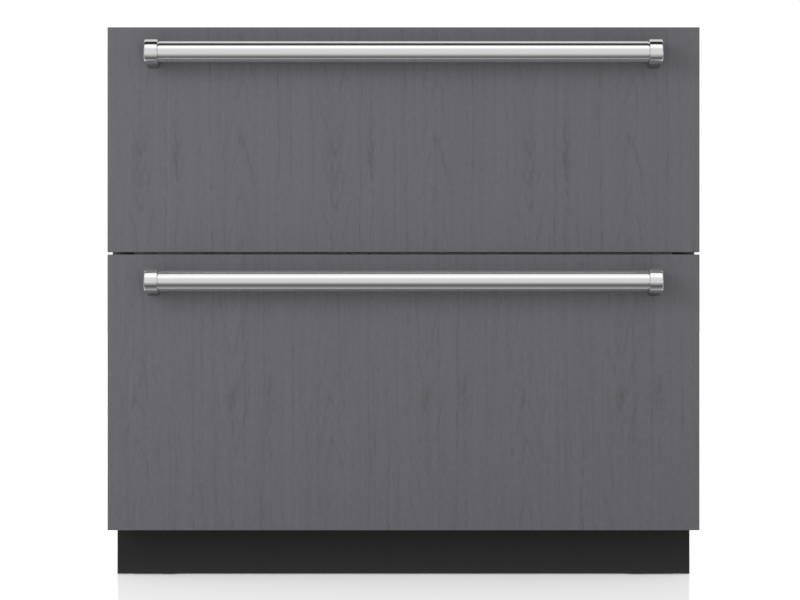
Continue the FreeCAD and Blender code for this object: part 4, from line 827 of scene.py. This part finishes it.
def make_display_digits(centre, face):
    """Two lit digits, the temperature, in the display window."""
    cell, gap, half_bar, chamfer = 3.4 * MM, 0.35 * MM, 0.4 * MM, 0.08 * MM
    bar_front, bar_back = face + 0.05 * MM, face + 0.3 * MM

    def digits(form):
        for bars, left in ((DIGIT_THREE, -5.4 * MM), (DIGIT_EIGHT, 2.0 * MM)):
            for (x1, z1), (x2, z2) in bars:
                start = Vector((left + x1 * cell, 0, centre + (z1 - 1) * cell))
                end = Vector((left + x2 * cell, 0, centre + (z2 - 1) * cell))
                trim = (end - start).normalized() * gap
                spread = Vector((half_bar if x1 == x2 else 0, 0, half_bar if z1 == z2 else 0))
                low, high = start + trim - spread, end - trim + spread
                low.y, high.y = bar_front, bar_back
                strip(form, low, high, chamfer)

    add_piece("display_digits", "cabinet", "display_light", digits)


def make_controls():
    """A dark display window, and a raised mark on each button."""
    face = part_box("control_housing")[0].y
    button_low, button_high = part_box("colder_button")
    centre = (button_low.z + button_high.z) / 2
    half_width, half_height = 19.4 * MM, 6.4 * MM
    window_front, window_back, window_chamfer = face + 0.2 * MM, face + 1.5 * MM, 0.5 * MM
    window = [
        (x * half_width, centre + z * half_height) for x, z in ((-1, -1), (1, -1), (1, 1), (-1, 1))
    ]
    add_piece(
        "display_window", "cabinet", "dark_glass",
        lambda form: tablet(form, window, window_front, window_back, window_chamfer),
    )
    make_display_digits(centre, face)
    half, raised, sunk, mark_chamfer = 2.4 * MM, 0.35 * MM, 0.1 * MM, 0.15 * MM
    for name, way in (("colder", -1), ("warmer", 1)):
        button_low, button_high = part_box(f"{name}_button")
        x = (button_low.x + button_high.x) / 2
        front, foot = button_low.y - raised, button_low.y + sunk
        base, tip = centre - way * half * 0.7, centre + way * half
        mark = [(x - half, base), (x + half, base), (x, tip)]
        add_piece(
            f"{name}_mark", f"{name}_button", "white_skin",
            lambda form: tablet(form, mark, front, foot, mark_chamfer),
        )


def make_back_screws():
    """Washer-head screws round the back sheet."""
    low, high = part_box("back_panel")
    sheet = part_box("rear_cover")[1].y
    side, top = high.x - 5 * MM, high.z - 5 * MM
    radius, height, pitch = 4.2 * MM, 2.4 * MM, 145 * MM
    rows = [low.z + 40 * MM, low.z + 220 * MM, low.z + 400 * MM, top]
    places = [(way * side, z) for way in (-1, 1) for z in rows]
    places += [(step * pitch, top) for step in (-2, -1, 0, 1, 2)]

    def screws(form):
        for x, z in places:
            washer_screw(form, (x, sheet, z), (0, 1, 0), radius, height)

    add_piece("back_screws", "cabinet", "foot_zinc", screws)


# Rings of (distance out of the sheet, radius), in millimetres.
PLUG_RINGS = [(0, 14), (1.0, 14), (1.6, 13.2), (1.7, 10), (1.1, 9.2), (1.1, 2)]
RIVET_RINGS = [(0, 2.2), (0.5, 2.0), (0.9, 1.2), (1.0, 0.5)]


def make_back_fittings():
    """Plugs in the foam filling holes, a blank data plate and the screws of the mains inlet."""
    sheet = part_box("rear_cover")[1].y
    back_low, back_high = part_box("back_panel")
    rows = [back_low.z + (back_high.z - back_low.z) * part for part in (0.4, 0.8)]
    plug_x = 250 * MM

    def turned(form, place, rings, segments):
        rings = [(along * MM, radius * MM) for along, radius in rings]
        lathe(form, place, (0, 1, 0), rings, segments=segments)

    def plugs(form):
        for x in (-plug_x, plug_x):
            for z in rows:
                turned(form, (x, sheet, z), PLUG_RINGS, 40)

    add_piece("foam_plugs", "cabinet", "black_plastic", plugs)

    half_height, rivet_inset, chamfer = 24 * MM, 5 * MM, 0.2 * MM
    plate_low = Vector((-395 * MM, sheet - 0.1 * MM, rows[0] - half_height))
    plate_high = Vector((-305 * MM, sheet + 0.5 * MM, rows[0] + half_height))

    def plate(form):
        strip(form, plate_low, plate_high, chamfer)
        for x in (plate_low.x + rivet_inset, plate_high.x - rivet_inset):
            for z in (plate_low.z + rivet_inset, plate_high.z - rivet_inset):
                turned(form, (x, plate_high.y, z), RIVET_RINGS, 16)

    add_piece("blank_plate", "cabinet", "front_steel", plate)

    inlet_low, inlet_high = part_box("power_inlet")
    level = (inlet_low.z + inlet_high.z) / 2
    inset, radius, height = 5 * MM, 2.8 * MM, 0.8 * MM

    def inlet_screws(form):
        for x in (inlet_low.x + inset, inlet_high.x - inset):
            socket_screw(form, (x, inlet_high.y, level), (0, 1, 0), radius, height)

    add_piece("inlet_screws", "cabinet", "foot_zinc", inlet_screws)


def make_shell_beads():
    """Pressed beads along the cabinet's sides and across its roof."""
    low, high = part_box("outer_shell")
    half_width, height = 9 * MM, 2.0 * MM
    front_end, back_end, roof_reach = -130 * MM, 275 * MM, 330 * MM
    levels = [low.z + (high.z - low.z) * part for part in (0.2, 0.4, 0.6, 0.8)]
    roof_rows = [-60 * MM, 60 * MM, 180 * MM]

    def beads(form):
        for way in (-1, 1):
            for z in levels:
                start, end = Vector((way * high.x, front_end, z)), Vector((way * high.x, back_end, z))
                bead(form, start, end, (way, 0, 0), half_width, height)
        for y in roof_rows:
            start, end = Vector((-roof_reach, y, high.z)), Vector((roof_reach, y, high.z))
            bead(form, start, end, (0, 0, 1), half_width, height)

    add_piece("shell_beads", "cabinet", "cabinet_paint", beads, smooth_angle=60)


def make_bracket_screws():
    """Screws that hold the counter brackets on the roof."""
    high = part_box("counter_brackets")[1]
    insets, y = (11 * MM, 29 * MM), high.y - 22 * MM
    radius, height = 4 * MM, 2 * MM

    def screws(form):
        for inset in insets:
            for way in (-1, 1):
                place = (way * (high.x - inset), y, high.z)
                socket_screw(form, place, (0, 0, 1), radius, height)

    add_piece("bracket_screws", "cabinet", "foot_zinc", screws)


# (ahead of the mullion, above its middle), in millimetres.
NOSE_PROFILE = [
    (0.0, -9.0), (3.0, -9.0), (3.5, -8.5), (4.0, -5.75), (32.0, -5.0), (34.3, -3.6), (35.0, 0.0),
    (34.3, 3.6), (32.0, 5.0), (4.0, 5.75), (3.5, 8.5), (3.0, 9.0), (0.0, 9.0),
]


def make_mullion_nose():
    """A nose on the mullion that fills the space between the two drawer fronts, with dark end caps."""
    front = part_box("mullion")[0].y
    level = (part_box("lower_front_pan")[1].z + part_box("upper_front_pan")[0].z) / 2
    cap_start, overhang = 415 * MM, 4.5 * MM
    cap_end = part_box("outer_shell")[1].x + overhang
    larger = [(ahead * 1.01, up * 1.06) for ahead, up in NOSE_PROFILE]

    def nose(form):
        profile_bar(form, NOSE_PROFILE, front, level, -cap_start, cap_start)

    def caps(form):
        for way in (-1, 1):
            profile_bar(form, larger, front, level, way * cap_start, way * cap_end)

    add_piece("mullion_nose", "cabinet", "white_liner", nose)
    add_piece("mullion_nose_caps", "cabinet", "gasket_rubber", caps)


def make_cabinet_screws():
    """Screws along the front edges of the cabinet sides, the middle ones into the mullion's ends."""
    low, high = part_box("outer_shell")
    end_gap, setback = 60 * MM, 22 * MM
    radius, height = 4 * MM, 1.6 * MM
    levels = [low.z + end_gap, (low.z + high.z) / 2, high.z - end_gap]

    def screws(form):
        for way in (-1, 1):
            for z in levels:
                place = (way * high.x, low.y + setback, z)
                socket_screw(form, place, (way, 0, 0), radius, height)

    add_piece("side_screws", "cabinet", "foot_zinc", screws)


for prefix in ("upper", "lower"):
    make_handle_ends(prefix)
    make_front_details(prefix)
    make_slide_details(prefix)
make_controls()
make_back_screws()
make_back_fittings()
make_shell_beads()
make_bracket_screws()
make_mullion_nose()
make_cabinet_screws()

# ---------------------------------------------------------------- stage, light and camera

CAMERA_X, CAMERA_Z = -0.0054, 0.4262
CAMERA_DISTANCE = 5.2
CAMERA_LENS = 152.6


def ramp(tree, socket, stops, low, high):
    """A grey that follows a number: stops are (number, brightness), between low and high."""
    place = tree.nodes.new("ShaderNodeMapRange")
    place.inputs["From Min"].default_value, place.inputs["From Max"].default_value = low, high
    tree.links.new(socket, place.inputs["Value"])
    node = tree.nodes.new("ShaderNodeValToRGB")
    tree.links.new(place.outputs["Result"], node.inputs["Fac"])
    elements = node.color_ramp.elements
    while len(elements) < len(stops):
        elements.new(0.5)
    for element, (number, value) in zip(elements, stops):
        element.position = (number - low) / (high - low)
        element.color = (value, value, value, 1)
    return node.outputs["Color"]


# Brightness of the floor where the metal mirrors it, by distance in front (metres, towards -Y).
FLOOR_MIRRORED = [
    (-3.0, 0.72), (-2.4, 0.70), (-1.66, 0.62), (-1.2, 0.40), (-1.02, 0.30), (-0.82, 0.15), (-0.70, 0.09),
    (-0.58, 0.07), (-0.53, 0.13), (-0.49, 0.21), (-0.41, 0.26), (-0.34, 0.30), (-0.20, 0.8), (1.0, 0.8),
]
# Brightness of the studio by elevation: 0 is level in front, 90 straight up, 180 level behind.
SKY_MIRRORED = [
    (0, 0.70), (12, 0.73), (24, 0.80), (31, 0.95), (38, 1.15), (54, 1.15), (64, 0.98), (75, 0.88),
    (90, 0.80), (116, 0.74), (140, 0.60), (160, 0.60), (176, 1.02),
]
# How much darker that is towards the sides: 0 is straight ahead or behind, 1 straight to one side.
SIDES_MIRRORED = [(0, 1.0), (0.35, 1.0), (0.6, 0.62), (0.85, 0.45), (1, 0.5)]
# The soft light that falls on the object, by elevation.
SKY_LIGHT = [
    (0, 0.96), (20, 0.96), (34, 0.70), (50, 0.45), (68, 0.38), (90, 0.70), (130, 0.80), (180, 0.82),
]
FLAG_HEIGHT, FLAG_FRONT, FLAG_BACK = 1.052, -0.436, -0.270
# The floor's own light, as the camera sees it and as it falls on the object.
FLOOR_GLOW, FLOOR_GLOW_ON_OBJECT = 0.47, 0.17
FLOOR_SIZE, FLOOR_SHADE_REACH = 80, 0.02
BACKDROP_WHITE = (1.02, 1.02, 1.02, 1)
KEY_PLACE, KEY_TARGET = (-2.0, -2.6, 1.5), (0, PANEL_FRONT, 0.5)
KEY_SIZE, KEY_ENERGY = (1.4, 1.4), 26


def make_stage():
    """A plain pale floor that glows and reflects a little; its glow is dimmed beside the object as a
    painted contact shadow.
    """
    bpy.ops.mesh.primitive_plane_add(size=FLOOR_SIZE, location=(0, 0, FLOOR_Z))
    floor = bpy.context.object
    floor.name = "floor"
    paint = Paint("floor_white", (0.80, 0.80, 0.80), 0.14, IOR=1.07)
    tree = paint.tree
    # Ambient occlusion dims the floor's glow next to the object: a painted contact shadow.
    shade = paint.add("ShaderNodeAmbientOcclusion", samples=8)
    shade.inputs["Distance"].default_value = FLOOR_SHADE_REACH
    path = tree.nodes.new("ShaderNodeLightPath")
    seen = Field(paint, path.outputs["Is Camera Ray"])
    strength = seen * (FLOOR_GLOW - FLOOR_GLOW_ON_OBJECT) + FLOOR_GLOW_ON_OBJECT
    glow = Field(paint, shade.outputs["AO"]) * strength
    paint.shader.inputs["Emission Color"].default_value = (1, 1, 1, 1)
    paint.set("Emission Strength", glow)
    mirrored = tree.nodes.new("ShaderNodeEmission")
    y = paint.axes()[1]
    nearest, furthest = FLOOR_MIRRORED[-1][0], FLOOR_MIRRORED[0][0]
    brightness = ramp(tree, y.socket, FLOOR_MIRRORED, furthest, nearest)
    tree.links.new(brightness, mirrored.inputs["Color"])
    mix = tree.nodes.new("ShaderNodeMixShader")
    tree.links.new(path.outputs["Is Glossy Ray"], mix.inputs["Fac"])
    tree.links.new(paint.shader.outputs[0], mix.inputs[1])
    tree.links.new(mirrored.outputs[0], mix.inputs[2])
    tree.links.new(mix.outputs[0], tree.nodes["Material Output"].inputs["Surface"])
    floor.data.materials.append(paint.material)


def make_flag():
    """A narrow black card above the front, seen only as the dark line along the handles."""
    middle = (FLAG_FRONT + FLAG_BACK) / 2
    bpy.ops.mesh.primitive_plane_add(size=1, location=(0, middle, FLAG_HEIGHT))
    flag = bpy.context.object
    flag.name = "flag"
    flag.scale = (6, FLAG_BACK - FLAG_FRONT, 1)
    black = Paint("flag_black", (0.01, 0.01, 0.01), 0.9, Specular_IOR_Level=0.0)
    flag.data.materials.append(black.material)
    for kind in ("camera", "diffuse", "transmission", "volume_scatter", "shadow"):
        setattr(flag, f"visible_{kind}", False)


def make_world():
    """White where the camera sees it; a studio of soft light, and its own look where metal mirrors it."""
    world = bpy.data.worlds.new("studio")
    bpy.context.scene.world = world
    world.use_nodes = True
    tree = world.node_tree
    tree.nodes.clear()

    def node(kind, **settings):
        made = tree.nodes.new(kind)
        for key, value in settings.items():
            setattr(made, key, value)
        return made

    split = node("ShaderNodeSeparateXYZ")
    tree.links.new(node("ShaderNodeTexCoord").outputs["Generated"], split.inputs[0])
    ahead = node("ShaderNodeMath", operation="MULTIPLY")
    ahead.inputs[1].default_value = -1
    elevation = node("ShaderNodeMath", operation="ARCTAN2")
    degrees = node("ShaderNodeMath", operation="MULTIPLY")
    degrees.inputs[1].default_value = math.degrees(1)
    tree.links.new(split.outputs["Y"], ahead.inputs[0])
    tree.links.new(split.outputs["Z"], elevation.inputs[0])
    tree.links.new(ahead.outputs[0], elevation.inputs[1])
    tree.links.new(elevation.outputs[0], degrees.inputs[0])
    aside = node("ShaderNodeMath", operation="ABSOLUTE")
    tree.links.new(split.outputs["X"], aside.inputs[0])
    dimmer = ramp(tree, aside.outputs[0], SIDES_MIRRORED, 0, 1)
    light, mirrored, seen = (node("ShaderNodeBackground") for _ in range(3))
    for look, stops in ((light, SKY_LIGHT), (mirrored, SKY_MIRRORED)):
        tree.links.new(ramp(tree, degrees.outputs[0], stops, 0, 180), look.inputs["Color"])
    tree.links.new(dimmer, mirrored.inputs["Strength"])
    seen.inputs["Color"].default_value = BACKDROP_WHITE
    path = node("ShaderNodeLightPath")
    by_glossy, by_camera = node("ShaderNodeMixShader"), node("ShaderNodeMixShader")
    tree.links.new(path.outputs["Is Glossy Ray"], by_glossy.inputs["Fac"])
    tree.links.new(light.outputs[0], by_glossy.inputs[1])
    tree.links.new(mirrored.outputs[0], by_glossy.inputs[2])
    tree.links.new(path.outputs["Is Camera Ray"], by_camera.inputs["Fac"])
    tree.links.new(by_glossy.outputs[0], by_camera.inputs[1])
    tree.links.new(seen.outputs[0], by_camera.inputs[2])
    tree.links.new(by_camera.outputs[0], node("ShaderNodeOutputWorld").inputs["Surface"])


def make_light(name, place, target, size, energy):
    """A soft rectangular light that mirrors don't show."""
    data = bpy.data.lights.new(name, "AREA")
    data.shape = "RECTANGLE"
    data.size, data.size_y = size
    data.energy = energy
    light = bpy.data.objects.new(name, data)
    bpy.context.scene.collection.objects.link(light)
    light.location = place
    light.rotation_euler = (Vector(target) - Vector(place)).to_track_quat("-Z", "Y").to_euler()
    light.visible_camera = False
    light.visible_glossy = False


def make_camera():
    data = bpy.data.cameras.new("camera")
    camera = bpy.data.objects.new("camera", data)
    bpy.context.scene.collection.objects.link(camera)
    camera.location = (CAMERA_X, PANEL_FRONT - CAMERA_DISTANCE, CAMERA_Z)
    camera.rotation_euler = (math.radians(90), 0, 0)
    data.lens = CAMERA_LENS
    data.clip_end = 100
    bpy.context.scene.camera = camera


make_stage()
make_flag()
make_world()
make_light("key_light", KEY_PLACE, KEY_TARGET, KEY_SIZE, KEY_ENERGY)
make_camera()
bpy.context.scene.view_settings.view_transform = "Standard"
